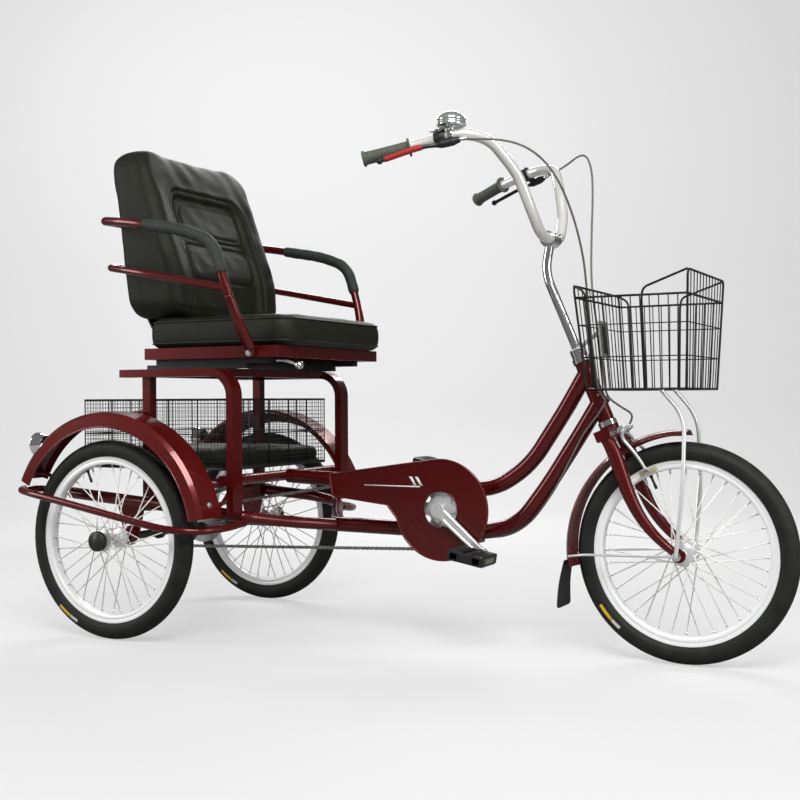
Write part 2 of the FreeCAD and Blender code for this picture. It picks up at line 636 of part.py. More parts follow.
def lattice(corners, columns, level_shares, wire, top_edge):
    """A flat panel of crossed wires between four corners: a thin plate with a window between every pair."""
    low_start, low_end, high_end, high_start = corners

    def at(u, v):
        low = low_start + (low_end - low_start) * u
        high = high_start + (high_end - high_start) * u
        return low + (high - low) * v
    across = (low_end - low_start).normalize() * (wire / 2)
    rise = (at(0.5, 1) - at(0.5, 0)).normalize() * (wire / 2)
    edge = rise.normalize() * top_edge
    rise = V(edge).normalize() * (wire / 2)
    outlines = [closed([at(0, 0) - across - rise, at(1, 0) + across - rise, at(1, 1) + across + edge,
                        at(0, 1) - across + edge])]
    for i in range(columns):
        start, end = i / columns, (i + 1) / columns
        for low, high in zip(level_shares, level_shares[1:]):
            outlines.append(closed([at(start, low) + across + rise, at(end, low) - across + rise,
                                    at(end, high) - across - rise, at(start, high) + across - rise]))
    thick = V(across).cross(V(rise)).normalize() * wire
    return Part.makeFace(outlines, "Part::FaceMakerBullseye").extrude(thick)


def make_bar_controls():
    """The two brake levers on their clamps, and the bell beside the right one."""
    levers = []
    way = V(*PERCH_WAY).normalize()
    point = V(*PERCH_POINT)
    clamp = rod(point - way * (PERCH_WIDTH / 2), point + way * (PERCH_WIDTH / 2), PERCH_R)
    corners = points(LEVER_POINTS)
    lever = bent_bar(corners, LEVER_R)
    ball = Part.makeSphere(LEVER_BALL_R, corners[-1])
    nose = rod(corners[0], corners[0] + (corners[1] - corners[0]) * 0.5, PIVOT_R)
    lever = fuse(clamp, rod(point, corners[1], PIVOT_R), nose, lever, ball).cut(nodes["handlebar"])
    lever = max(lever.Solids, key=lambda solid: solid.Volume)
    put("brake_levers", lever, mirrored(lever))
    base = V(BELL_POINT[0], -BELL_POINT[1], BELL_POINT[2])
    across = V(way.x, -way.y, way.z)
    hold = rod(base - across * (BELL_RING_WIDTH / 2), base + across * (BELL_RING_WIDTH / 2), PERCH_R)
    stalk = rod(base, base + UP * (BELL_RISE + SHEET), BELL_STALK_R)
    rim_z = base + UP * BELL_RISE
    dome = [V(0, 0, 0), V(BELL_R, 0, 0), V(BELL_R, 0, BELL_SKIRT)]
    steps = 6
    for i in range(1, steps):
        turn = math.pi / 2 * i / steps
        dome.append(V(BELL_R * math.cos(turn), 0, BELL_SKIRT + (BELL_DOME - SHEET) * math.sin(turn)))
    dome.append(V(0, 0, BELL_SKIRT + BELL_DOME - SHEET))
    shell = Part.Face(closed([rim_z + p for p in dome])).revolve(rim_z, UP, 360)
    bell = fuse(hold, stalk, shell).cut(nodes["handlebar"]).cut(mirrored(lever))
    put("bell", max(bell.Solids, key=lambda solid: solid.Volume))


def make_front_brake():
    """A side-pull caliper bolted to the front of the crown, its pads just clear of the rim."""
    middle = on_axis(-RACE_HEIGHT - CROWN_HEIGHT / 2)
    ahead = LEFT.cross(HEAD_UP)
    face = middle + ahead * (CROWN_DEPTH / 2 + SEAT_GAP)
    bolt = rod(face, face + ahead * CALIPER_BOLT, CALIPER_R)
    start = face + ahead * (2 * CALIPER_R)
    pad_y = RIM_WIDTH / 2 + PAD_GAP
    arms, pads = [], []
    for side in (1, -1):
        spot = on_arc(FRONT_AXLE, PAD_R, PAD_TURN, side * pad_y)
        outward = LEFT * side
        foot = spot + outward * (PAD_THICK + SEAT_GAP)
        holder = rod(foot, foot + outward * PAD_BOLT_LENGTH, PAD_BOLT_R)
        path = [start] + [V(x, side * y, z) for x, y, z in CALIPER_POINTS] + [foot + outward * (PAD_BOLT_LENGTH / 2)]
        arms += [bent_bar(path, CALIPER_R), holder]
        start = start + ahead * (2 * CALIPER_R)
        pad = Part.makeBox(PAD_LONG, PAD_THICK, PAD_DEEP, V(-PAD_LONG / 2, -PAD_THICK / 2, -PAD_DEEP / 2))
        pad.rotate(V(0, 0, 0), LEFT, 90 - PAD_TURN)
        pad.translate(spot + outward * (PAD_THICK / 2))
        pads.append(pad)
    cap = rod(start - ahead * CALIPER_R, start + ahead * CALIPER_R, PIVOT_R)
    put("front_brake", fuse(bolt, cap, *arms))
    put("brake_pads", *pads)


def make_cables():
    """Cable housings: one to the front brake, and the rear one in two parts that meet beside the head tube."""
    for name, corners in (("cable_front", FRONT_CABLE_POINTS), ("cable_bars", BAR_CABLE_POINTS),
                          ("cable_frame", FRAME_CABLE_POINTS)):
        path, radii = rounded_path(points(corners))
        section = Part.Wire(Part.makeCircle(CABLE_R, V(*corners[0]), V(*corners[1]) - V(*corners[0])))
        housing = path.makePipeShell([section], True, False)
        for other in ("brake_levers", "front_brake", "down_tube", "bottom_bracket"):
            housing = housing.cut(nodes[other])
        put(name, max(housing.Solids, key=lambda solid: solid.Volume))
        print(name, "length", round(path.Length), "radii", [round(r, 1) for r in radii])


def make_rear_brake():
    """The band brake's housing on the shaft, kept from turning by an arm that reaches the left rail."""
    low = REAR_AXLE + LEFT * BRAKE_DRUM_Y
    high = low + LEFT * BRAKE_DRUM_WIDTH
    drum = rod(low, high, BRAKE_DRUM_R)
    end = V(*RAIL_POINTS[-1])
    arm = bent_bar([low + LEFT * (BRAKE_DRUM_WIDTH / 2) + UP * (BRAKE_DRUM_R - BRAKE_ARM_R),
                    low + LEFT * (BRAKE_DRUM_WIDTH * 2) + UP * (BRAKE_DRUM_R + BRAKE_ARM_RISE),
                    V(-BRAKE_DRUM_R, RAIL_POINTS[-1][1], end.z - BRAKE_ARM_R)], BRAKE_ARM_R)
    ear = block(low + V(BRAKE_DRUM_R - BRAKE_EAR, 0, 0), high + V(BRAKE_DRUM_R + BRAKE_EAR, 0, BRAKE_EAR))
    reach = LEFT * OVERRUN
    whole = fuse(drum, arm, ear).cut(rod(low - reach, high + reach, SHAFT_R + RUN_FIT)).cut(nodes["rail_left"])
    put("rear_brake", max(whole.Solids, key=lambda solid: solid.Volume))


def end_wall(floor_x, rim_x, rise, way):
    """The front or rear wall of the front basket, whose lean carries on above the side rims."""
    reach = (BASKET_DEPTH + rise) / BASKET_DEPTH
    top_x, top_half = floor_x + (rim_x - floor_x) * reach, FLOOR_HALF + (BASKET_HALF - FLOOR_HALF) * reach
    low_z, top_z = BASKET_FLOOR_Z, BASKET_RIM_Z + rise
    corners = [V(floor_x, -way * FLOOR_HALF, low_z), V(floor_x, way * FLOOR_HALF, low_z),
               V(top_x, way * top_half, top_z), V(top_x, -way * top_half, top_z)]
    return lattice(corners, FRONT_COLUMNS, [share / reach for share in BAND_SHARES] + [1], BASKET_WIRE, RIM_WIRE_R)


def make_front_basket():
    inset = BASKET_WIRE / 2 + SEAT_GAP
    front = end_wall(FLOOR_FRONT_X, BASKET_FRONT_X, BASKET_FRONT_RISE, 1)
    rear = end_wall(FLOOR_REAR_X, BASKET_REAR_X, BASKET_REAR_RISE, -1)
    near_x, far_x, floor_half = FLOOR_REAR_X + inset, FLOOR_FRONT_X - inset, FLOOR_HALF - inset
    side = lattice([V(near_x, -FLOOR_HALF, BASKET_FLOOR_Z), V(far_x, -FLOOR_HALF, BASKET_FLOOR_Z),
                    V(BASKET_FRONT_X - inset, -BASKET_HALF, BASKET_RIM_Z),
                    V(BASKET_REAR_X + inset, -BASKET_HALF, BASKET_RIM_Z)],
                   SIDE_COLUMNS, BAND_SHARES, BASKET_WIRE, RIM_WIRE_R)
    floor = lattice([V(near_x, -floor_half, BASKET_FLOOR_Z), V(far_x, -floor_half, BASKET_FLOOR_Z),
                     V(far_x, floor_half, BASKET_FLOOR_Z), V(near_x, floor_half, BASKET_FLOOR_Z)],
                    SIDE_COLUMNS, FLOOR_SHARES, BASKET_WIRE, BASKET_WIRE / 2)
    put("front_basket", front, rear, side, mirrored(side), floor)
    hold = on_axis(HEAD_LENGTH + CUP_HEIGHT + SIDE_GAP + LOCK_NUT_HEIGHT)
    strap_z = BASKET_RIM_Z - STRAP_DROP
    panel_share = (strap_z - BASKET_FLOOR_Z) / BASKET_DEPTH
    panel_x = FLOOR_REAR_X + (BASKET_REAR_X - FLOOR_REAR_X) * panel_share
    strap_end = V(panel_x - BASKET_WIRE - SEAT_GAP, 0, strap_z)
    half = BASKET_STRAP_WIDTH / 2
    outline = [hold, hold + HEAD_UP * BASKET_STRAP_THICK, strap_end + UP * BASKET_STRAP_THICK, strap_end]
    plate = Part.Face(Part.makePolygon(outline + outline[:1])).extrude(LEFT * BASKET_STRAP_WIDTH)
    plate.translate(-LEFT * half)
    eye = rod(hold, hold + HEAD_UP * BASKET_STRAP_THICK, LOCK_NUT_R)
    strap = fuse(plate, eye).cut(nodes["stem"])
    stays = [stay.cut(nodes["front_mudguard"]).cut(nodes["front_axle"]) for stay in nodes["front_stays"].Solids]
    stays = [max(stay.Solids, key=lambda solid: solid.Volume) for stay in stays]
    put("front_stays", *stays, max(strap.Solids, key=lambda solid: solid.Volume))


# Frame

def make_frame():
    top_tube = bent_bar(points(TOP_TUBE_POINTS), MAIN_TUBE_R)
    down_tube = bent_bar(points(DOWN_TUBE_POINTS), MAIN_TUBE_R)
    head = rod(on_axis(0), on_axis(HEAD_LENGTH), HEAD_TUBE_R)
    shell = rod(CRANK - LEFT * SHELL_HALF, CRANK + LEFT * SHELL_HALF, SHELL_R)
    cross_bar = rod(V(CROSS_BAR_X, -CROSS_BAR_HALF, CROSS_BAR_Z), V(CROSS_BAR_X, CROSS_BAR_HALF, CROSS_BAR_Z),
                    CROSS_BAR_R)
    rails, stands = {}, {}
    for name, side in (("left", 1), ("right", -1)):
        rail = bent_bar(points(RAIL_POINTS), RAIL_R)
        plate = hanger(rail)
        rail = fuse(rail, plate).cut(down_tube)
        stand = seat_stand(rail)
        rails[name] = rail if side > 0 else mirrored(rail)
        stands[name] = stand if side > 0 else mirrored(stand)
    rails["right"] = rails["right"].cut(rails["left"])
    cross_bar = cross_bar.cut(stands["left"]).cut(stands["right"])
    top_tube = top_tube.cut(head).cut(cross_bar)
    down_tube = down_tube.cut(head).cut(top_tube)
    post = block(V(CRANK_X - SHELL_R, -MAIN_TUBE_R / 2, CRANK_Z - 2 * SHELL_R),
                 V(CRANK_X + SHELL_R, MAIN_TUBE_R / 2, CRANK_Z + 2 * SHELL_R))
    bracket = fuse(shell, post).cut(top_tube).cut(down_tube)
    reach = LEFT * (SHELL_HALF + OVERRUN)
    bracket = bracket.cut(rod(CRANK - reach, CRANK + reach, SPINDLE_R + RUN_FIT))
    put("top_tube", top_tube)
    put("down_tube", down_tube)
    put("bottom_bracket", bracket)
    put("cross_bar", cross_bar)
    for name in rails:
        put("rail_" + name, rails[name])
        put("stand_" + name, stands[name])


def hanger(rail):
    """The bearing of the rear shaft and the plate that hangs it under the side rail."""
    inner_y = BEARING_Y - BEARING_WIDTH / 2
    rail_z = RAIL_POINTS[-1][2] + (RAIL_POINTS[-2][2] - RAIL_POINTS[-1][2]) * \
        (-RAIL_POINTS[-1][0]) / (RAIL_POINTS[-2][0] - RAIL_POINTS[-1][0])
    housing = rod(REAR_AXLE + LEFT * inner_y, REAR_AXLE + LEFT * (inner_y + BEARING_WIDTH), BEARING_R)
    outline = [V(-HANGER_TOP_HALF, inner_y, rail_z), V(HANGER_TOP_HALF, inner_y, rail_z),
               V(BEARING_R, inner_y, WHEEL_R), V(-BEARING_R, inner_y, WHEEL_R)]
    plate = Part.Face(Part.makePolygon(outline + outline[:1])).extrude(LEFT * -HANGER_THICK)
    link = block(V(-BEARING_R / 2, inner_y - HANGER_THICK, WHEEL_R), V(BEARING_R / 2, inner_y + OVERRUN, WHEEL_R + BEARING_R))
    reach = LEFT * (BEARING_WIDTH + OVERRUN)
    bore = rod(REAR_AXLE + LEFT * BEARING_Y - reach, REAR_AXLE + LEFT * BEARING_Y + reach, SHAFT_R + RUN_FIT)
    return fuse(housing, plate, link).cut(bore)


def seat_stand(rail):
    """A bent rectangular tube, top rail and front leg in one, with a square upright at the rear."""
    top = STAND_TOP_Z
    corners = [V(STAND_REAR_X, STAND_Y, top), V(STAND_LEG_X, STAND_Y, top), V(STAND_LEG_X, STAND_Y, STAND_FOOT_Z)]
    path, _ = rounded_path(corners, STAND_BEND_R)
    half_w, half_h = STAND_WIDTH / 2, STAND_HEIGHT / 2
    outline = [V(STAND_REAR_X, STAND_Y + a * half_w, top + b * half_h) for a, b in ((-1, -1), (1, -1), (1, 1), (-1, 1))]
    section = Part.makePolygon(outline + outline[:1])
    bent = path.makePipeShell([section], True, False)
    half = UPRIGHT_SIZE / 2
    upright = block(V(UPRIGHT_X - half, UPRIGHT_Y - half, UPRIGHT_FOOT_Z),
                    V(UPRIGHT_X + half, UPRIGHT_Y + half, top))
    return fuse(bent, upright).cut(rail)


# Drive

def pitch_radius(teeth):
    return PITCH / 2 / math.sin(math.pi / teeth)


def toothed_disc(centre, teeth):
    """A sprocket plate whose teeth stop short of the chain that runs round it."""
    outer = pitch_radius(teeth) - TOOTH_CUT
    corners = []
    for i in range(2 * teeth):
        radius = outer if i % 2 == 0 else outer - TOOTH_CUT / 2
        corners.append(on_arc(centre, radius, 180 * i / teeth, -CHAIN_Y - RING_THICK / 2))
    return Part.Face(Part.makePolygon(corners + corners[:1])).extrude(LEFT * RING_THICK)


def chain_line():
    """The loop that the chain follows: two arcs and the straight runs that touch both."""
    big, small = pitch_radius(RING_TEETH), pitch_radius(SPROCKET_TEETH)
    between = REAR_AXLE - CRANK
    lean = math.atan2(between.z, between.x)
    swing = math.acos((big - small) / between.Length)
    edges, ends = [], []
    for sign in (1, -1):
        ray = V(math.cos(lean + sign * swing), 0, math.sin(lean + sign * swing))
        ends.append((CRANK + ray * big, REAR_AXLE + ray * small))
    front = CRANK - V(math.cos(lean), 0, math.sin(lean)) * big
    rear = REAR_AXLE + V(math.cos(lean), 0, math.sin(lean)) * small
    edges = [Part.Arc(ends[0][0], front, ends[1][0]).toShape(), Part.LineSegment(ends[1][0], ends[1][1]).toShape(),
             Part.Arc(ends[1][1], rear, ends[0][1]).toShape(), Part.LineSegment(ends[0][1], ends[0][0]).toShape()]
    return Part.Wire(edges)


def make_chain():
    face = Part.Face(chain_line())
    face.translate(LEFT * (-CHAIN_Y - CHAIN_WIDTH / 2))
    outer = face.makeOffset2D(CHAIN_HALF_HEIGHT).extrude(LEFT * CHAIN_WIDTH)
    inner = face.makeOffset2D(-CHAIN_HALF_HEIGHT).extrude(LEFT * CHAIN_WIDTH)
    put("chain", outer.cut(inner))


def crank_arm(side):
    """One crank arm with its boss on the spindle and its eye for the pedal."""
    turn = CRANK_ANGLE if side < 0 else CRANK_ANGLE + 180
    eye = on_arc(CRANK, CRANK_LENGTH, -turn)
    inner = LEFT * (side * ARM_Y - ARM_THICK / 2)
    outer = inner + LEFT * ARM_THICK
    along = (eye - CRANK).normalize()
    across = along.cross(LEFT)
    root, tip = across * ARM_BOSS_R * BOSS_SHARE, across * ARM_END_R * EYE_SHARE
    outline = [CRANK + root, eye + tip, eye - tip, CRANK - root]
    bar = Part.Face(Part.makePolygon([p + inner for p in outline + outline[:1]])).extrude(LEFT * ARM_THICK)
    boss = rod(CRANK + LEFT * side * (ARM_Y - ARM_THICK), CRANK + LEFT * side * (ARM_Y + ARM_THICK / 2), ARM_BOSS_R)
    return fuse(bar, boss, rod(eye + inner, eye + outer, ARM_END_R)), eye


def make_drive():
    right, right_eye = crank_arm(-1)
    left, left_eye = crank_arm(1)
    spindle = rod(CRANK - LEFT * ARM_Y, CRANK + LEFT * ARM_Y, SPINDLE_R)
    pins = []
    for side, eye in ((-1, right_eye), (1, left_eye)):
        far = LEFT * side * (PEDAL_Y + PEDAL_WIDTH / 2 - PEDAL_WALL)
        pins.append(rod(eye + LEFT * side * ARM_Y, eye + far, PEDAL_AXLE_R))
    cranks = fuse(spindle, right, left, *pins)
    put("cranks", cranks)
    plate_low, plate_high = LEFT * (-CHAIN_Y - RING_THICK / 2), LEFT * (-CHAIN_Y + RING_THICK / 2)
    hollow = rod(CRANK + plate_low - LEFT * OVERRUN, CRANK + plate_high + LEFT * OVERRUN, SPIDER_R)
    chainring = toothed_disc(CRANK, RING_TEETH).cut(hollow)
    spots = [on_arc(CRANK, SPIDER_R / 2, 360 * i / CRANK_LOBES) for i in range(CRANK_LOBES)]
    lobes = [rod(spot + plate_low, spot + plate_high, SPIDER_R / 2 + RING_THICK) for spot in spots]
    ring_node = fuse(chainring, *lobes).cut(cranks)
    put("chainring", ring_node)
    boss = rod(REAR_AXLE - LEFT * (CHAIN_Y + PITCH), REAR_AXLE - LEFT * (CHAIN_Y - PITCH), SPROCKET_BOSS_R)
    reach = LEFT * (PITCH + OVERRUN)
    sprocket = fuse(toothed_disc(REAR_AXLE, SPROCKET_TEETH), boss)
    put("sprocket", sprocket.cut(rod(REAR_AXLE - LEFT * CHAIN_Y - reach, REAR_AXLE - LEFT * CHAIN_Y + reach,
                                     SHAFT_R + RUN_FIT)))
    for name, side, eye in (("left", 1, left_eye), ("right", -1, right_eye)):
        put("pedal_" + name, pedal(eye, side))


def pedal(eye, side):
    """A block pedal: two treads and a sleeve between end walls, open between them."""
    middle = eye + LEFT * side * PEDAL_Y
    half = V(PEDAL_LENGTH / 2, PEDAL_WIDTH / 2, PEDAL_HEIGHT / 2)
    body = block(middle - half, middle + half)
    gap = PEDAL_LENGTH / 2 - PEDAL_WALL
    for sign in (-1, 1):
        low = min(sign * PEDAL_SLEEVE_R, sign * gap)
        high = max(sign * PEDAL_SLEEVE_R, sign * gap)
        body = body.cut(block(middle + V(low, -half.y + PEDAL_WALL, -half.z - OVERRUN),
                              middle + V(high, half.y - PEDAL_WALL, half.z + OVERRUN)))
    reach = LEFT * (PEDAL_WIDTH / 2 + OVERRUN)
    body = body.cut(rod(middle - reach, middle + reach, PEDAL_AXLE_R + RUN_FIT))
    body.rotate(middle, LEFT, PEDAL_TILT)
    return body


def make_chain_guard():
    """A pressed tray: a disc round the crank that runs back into a tapering strip."""
    rear_top = V(GUARD_REAR_X, 0, GUARD_REAR_TOP_Z)
    rear_low = V(GUARD_REAR_LOW_X, 0, GUARD_REAR_LOW_Z)
    middle = V(GUARD_MID_X, 0, GUARD_MID_Z)
    to_rear = rear_top - CRANK
    tangent = math.degrees(math.atan2(to_rear.z, to_rear.x) - math.acos(GUARD_R / to_rear.Length))
    top_join = on_arc(CRANK, GUARD_R, tangent)
    neck_drop = math.sqrt(GUARD_R ** 2 - (GUARD_NECK_X - CRANK_X) ** 2)
    neck = V(GUARD_NECK_X, 0, CRANK_Z - neck_drop)
    round_disc = Part.Arc(top_join, on_arc(CRANK, GUARD_R, -GUARD_LOW_TURN), neck).toShape()
    strip = Part.makePolygon([neck, middle, rear_low, rear_top, top_join])
    outline = Part.Face(Part.Wire([round_disc] + strip.Edges))
    inside = outline.makeOffset2D(-SHEET)
    outline.translate(LEFT * -GUARD_Y)
    inside.translate(LEFT * (-GUARD_Y + SHEET))
    tray = outline.extrude(LEFT * GUARD_DEPTH).cut(inside.extrude(LEFT * GUARD_DEPTH))
    hole = rod(CRANK - LEFT * (GUARD_Y + OVERRUN), CRANK - LEFT * (GUARD_Y - OVERRUN), GUARD_HOLE_R)
    put("chain_guard", tray.cut(hole))
    half = TAB_THICK / 2
    ring_clear = (pitch_radius(RING_TEETH) + GUARD_R) / 2
    rear_tab = block(V(GUARD_REAR_X + TAB_THICK, -GUARD_Y + SHEET, GUARD_REAR_TOP_Z - TAB_THICK - SHEET * 2),
                     V(GUARD_REAR_X + 2 * TAB_THICK, 0, GUARD_REAR_TOP_Z - SHEET * 2))
    low = on_arc(CRANK, ring_clear, -TAB_TURN)
    front_tab = block(low + V(-half, -GUARD_Y + SHEET, -half), low + V(half, 0, half))
    put("top_tube", nodes["top_tube"].fuse(rear_tab))
    put("down_tube", nodes["down_tube"].fuse(front_tab))


# Seat

def make_seat_base():
    low = STAND_TOP_Z - STAND_HEIGHT / 2
    high = STAND_TOP_Z + STAND_HEIGHT / 2
    inner_y = STAND_Y - STAND_WIDTH / 2
    half = SEAT_CROSS_WIDTH / 2
    crosses = [block(V(x - half, -inner_y, low), V(x + half, inner_y, high)) for x in (UPRIGHT_X, SEAT_CROSS_FRONT_X)]
    crosses = [cross.cut(nodes["stand_left"]).cut(nodes["stand_right"]) for cross in crosses]
    put("seat_crosses", *crosses)
    slides, runners = [], []
    runner_low = high + SLIDE_HEIGHT + SEAT_GAP
    for side in (-1, 1):
        near, far = side * SLIDE_Y - SLIDE_WIDTH / 2, side * SLIDE_Y + SLIDE_WIDTH / 2
        slides.append(block(V(SLIDE_REAR_X, near, high), V(SLIDE_FRONT_X, far, high + SLIDE_HEIGHT)))
        runners.append(block(V(RUNNER_REAR_X, near, runner_low), V(RUNNER_FRONT_X, far, runner_low + RUNNER_HEIGHT)))
    put("slides", *slides)
    put("runners", *runners)
    frame_low = runner_low + RUNNER_HEIGHT
    frame_high = frame_low + SEAT_BAR
    outer = block(V(SEAT_REAR_X, -SEAT_HALF, frame_low), V(SEAT_FRONT_X, SEAT_HALF, frame_high))
    inner = block(V(SEAT_REAR_X + SEAT_BAR, -SEAT_HALF + SEAT_BAR, frame_low - OVERRUN),
                  V(SEAT_FRONT_X - SEAT_BAR, SEAT_HALF - SEAT_BAR, frame_high + OVERRUN))
    bars = [block(V(RUNNER_REAR_X, side * SLIDE_Y - SLIDE_WIDTH / 2, frame_low),
                  V(RUNNER_FRONT_X, side * SLIDE_Y + SLIDE_WIDTH / 2, frame_high)) for side in (-1, 1)]
    pan = block(V(SEAT_REAR_X, -SEAT_HALF, frame_high), V(SEAT_FRONT_X, SEAT_HALF, frame_high + SEAT_PAN))
    put("seat_frame", fuse(outer.cut(inner), pan, *bars))
    cushion_low = frame_high + SEAT_PAN + SEAT_GAP
    pad = block(V(CUSHION_REAR_X, -CUSHION_HALF, cushion_low),
                V(CUSHION_FRONT_X, CUSHION_HALF, cushion_low + CUSHION_HEIGHT - SEAT_GAP))
    put("seat_cushion", pad.makeFillet(CUSHION_ROUND, pad.Edges))


def back_face_x(z):
    """Where the rear face of the backrest lies at a height."""
    rear = BACK_PROFILE[1:4]
    for (x0, z0), (x1, z1) in zip(rear, rear[1:]):
        if z <= z1:
            return x0 + (x1 - x0) * (z - z0) / (z1 - z0)
    return rear[-1][0]


def make_backrest():
    corners = [V(x, -BACK_HALF, z) for x, z in BACK_PROFILE]
    slab = Part.Face(Part.makePolygon(corners + corners[:1])).extrude(LEFT * (2 * BACK_HALF))
    top = max(z for _, z in BACK_PROFILE)
    low = min(z for _, z in BACK_PROFILE)
    deep = 2 * BACK_HALF
    plan = block(V(-deep, -BACK_HALF, low), V(deep, BACK_HALF, top))
    upper = [edge for edge in plan.Edges if edge.BoundBox.ZMin > top - SHEET and edge.BoundBox.YLength < SHEET]
    put("backrest", slab.common(plan.makeFillet(BACK_CORNER, upper)))


def make_armrests():
    upper_x = back_face_x(UPPER_BAR_Z) - ARM_TUBE_R - SEAT_GAP
    lower_x = back_face_x(LOWER_BAR_Z) - ARM_LOW_R - SEAT_GAP
    upper_start = V(upper_x, BACK_BAR_HALF, UPPER_BAR_Z)
    lower_start = V(lower_x, BACK_BAR_HALF, LOWER_BAR_Z)
    straight = LEFT * BACK_BAR_STRAIGHT
    upper_corners = [upper_start, upper_start + straight] + points(ARM_UPPER_POINTS)
    upper = bent_bar(upper_corners, ARM_TUBE_R)
    lower = bent_bar([lower_start, lower_start + straight] + points(ARM_LOWER_POINTS), ARM_LOW_R)
    arm = fuse(upper, lower).cut(nodes["seat_frame"])
    arm = max(arm.Solids, key=lambda solid: solid.Volume)
    put("armrest_left", arm)
    put("armrest_right", mirrored(arm))
    put("back_bars", rod(mirror_point(upper_start), upper_start, ARM_TUBE_R),
        rod(mirror_point(lower_start), lower_start, ARM_LOW_R))
    cover = bent_bar(upper_corners, SLEEVE_R)
    front = block(V(SLEEVE_FROM_X, 0, SLEEVE_TO_Z), V(SEAT_FRONT_X, TRACK, UPPER_BAR_Z))
    sleeve = cover.common(front).cut(upper)
    put("arm_sleeves", sleeve, mirrored(sleeve))
    brackets = []
    for side in (-1, 1):
        near = side * BRACKET_Y - BRACKET_WIDTH / 2
        heel_z = nodes["seat_frame"].BoundBox.ZMax
        top_z = (LOWER_BAR_Z + heel_z) / 2 + BRACKET_WIDTH
        gap = SEAT_GAP
        outline = [V(SEAT_REAR_X, near, nodes["seat_frame"].BoundBox.ZMin),
                   V(SEAT_REAR_X, near, heel_z), V(BACK_PROFILE[0][0] - gap, near, BACK_PROFILE[0][1]),
                   V(BACK_PROFILE[1][0] - gap, near, BACK_PROFILE[1][1]),
                   V(back_face_x(top_z) - gap, near, top_z)]
        outline += [p - V(BRACKET_THICK, 0, 0) for p in reversed(outline)]
        brackets.append(Part.Face(Part.makePolygon(outline + outline[:1])).extrude(LEFT * BRACKET_WIDTH))
    put("back_brackets", *brackets)


def mirror_point(p):
    return V(p.x, -p.y, p.z)


# Rear basket, mudguards, lamps and side bars

def make_rear_basket():
    low, high = REAR_BASKET_FLOOR_Z, REAR_BASKET_RIM_Z
    rear_x, front_x, half = REAR_BASKET_REAR_X, REAR_BASKET_FRONT_X, REAR_BASKET_HALF
    inset = BASKET_WIRE / 2 + SEAT_GAP
    front = lattice([V(front_x, -half, low), V(front_x, half, low), V(front_x, half, high), V(front_x, -half, high)],
                    REAR_COLUMNS, FLOOR_SHARES, BASKET_WIRE, RIM_WIRE_R)
    rear = lattice([V(rear_x, half, low), V(rear_x, -half, low), V(rear_x, -half, high), V(rear_x, half, high)],
                   REAR_COLUMNS, FLOOR_SHARES, BASKET_WIRE, RIM_WIRE_R)
    near_x, far_x = rear_x + inset, front_x - inset
    side = lattice([V(near_x, -half, low), V(far_x, -half, low), V(far_x, -half, high), V(near_x, -half, high)],
                   REAR_COLUMNS, FLOOR_SHARES, BASKET_WIRE, RIM_WIRE_R)
    floor_half = half - inset
    floor = lattice([V(near_x, -floor_half, low), V(far_x, -floor_half, low), V(far_x, floor_half, low),
                     V(near_x, floor_half, low)], REAR_COLUMNS, FLOOR_SHARES, BASKET_WIRE, BASKET_WIRE / 2)
    put("rear_basket", front, rear, side, mirrored(side), floor)
    edge = 2 * BASKET_WIRE
    pad_low = low + BASKET_WIRE + SEAT_GAP
    pad = block(V(rear_x + edge, -half + edge, pad_low), V(front_x - edge, half - edge, pad_low + PAD_HEIGHT))
    put("basket_pad", pad.makeFillet(PAD_ROUND, pad.Edges))


def rear_guard():
    """A flat-topped mudguard with a deep outer lip, turned round a point close to the wheel's centre."""
    centre = V(REAR_GUARD_X, 0, REAR_GUARD_Z)
    inner, outer = REAR_GUARD_INNER_Y, REAR_GUARD_OUTER_Y
    r = REAR_GUARD_R
    soft = REAR_GUARD_LIP / 4
    outside = [(r - soft, inner), (r, inner + soft), (r, outer - soft), (r - soft, outer), (r - REAR_GUARD_LIP, outer)]
    inside = [(r - REAR_GUARD_LIP, outer - SHEET), (r - soft, outer - SHEET), (r - SHEET, outer - soft),
              (r - SHEET, inner + soft), (r - soft, inner + SHEET)]
    corners = [centre + V(a, y, 0) for a, y in outside + inside]
    face = Part.Face(Part.makePolygon(corners + corners[:1]))
    face.rotate(centre, LEFT, -REAR_GUARD_FROM)
    return face.revolve(centre, -LEFT, REAR_GUARD_TO - REAR_GUARD_FROM)


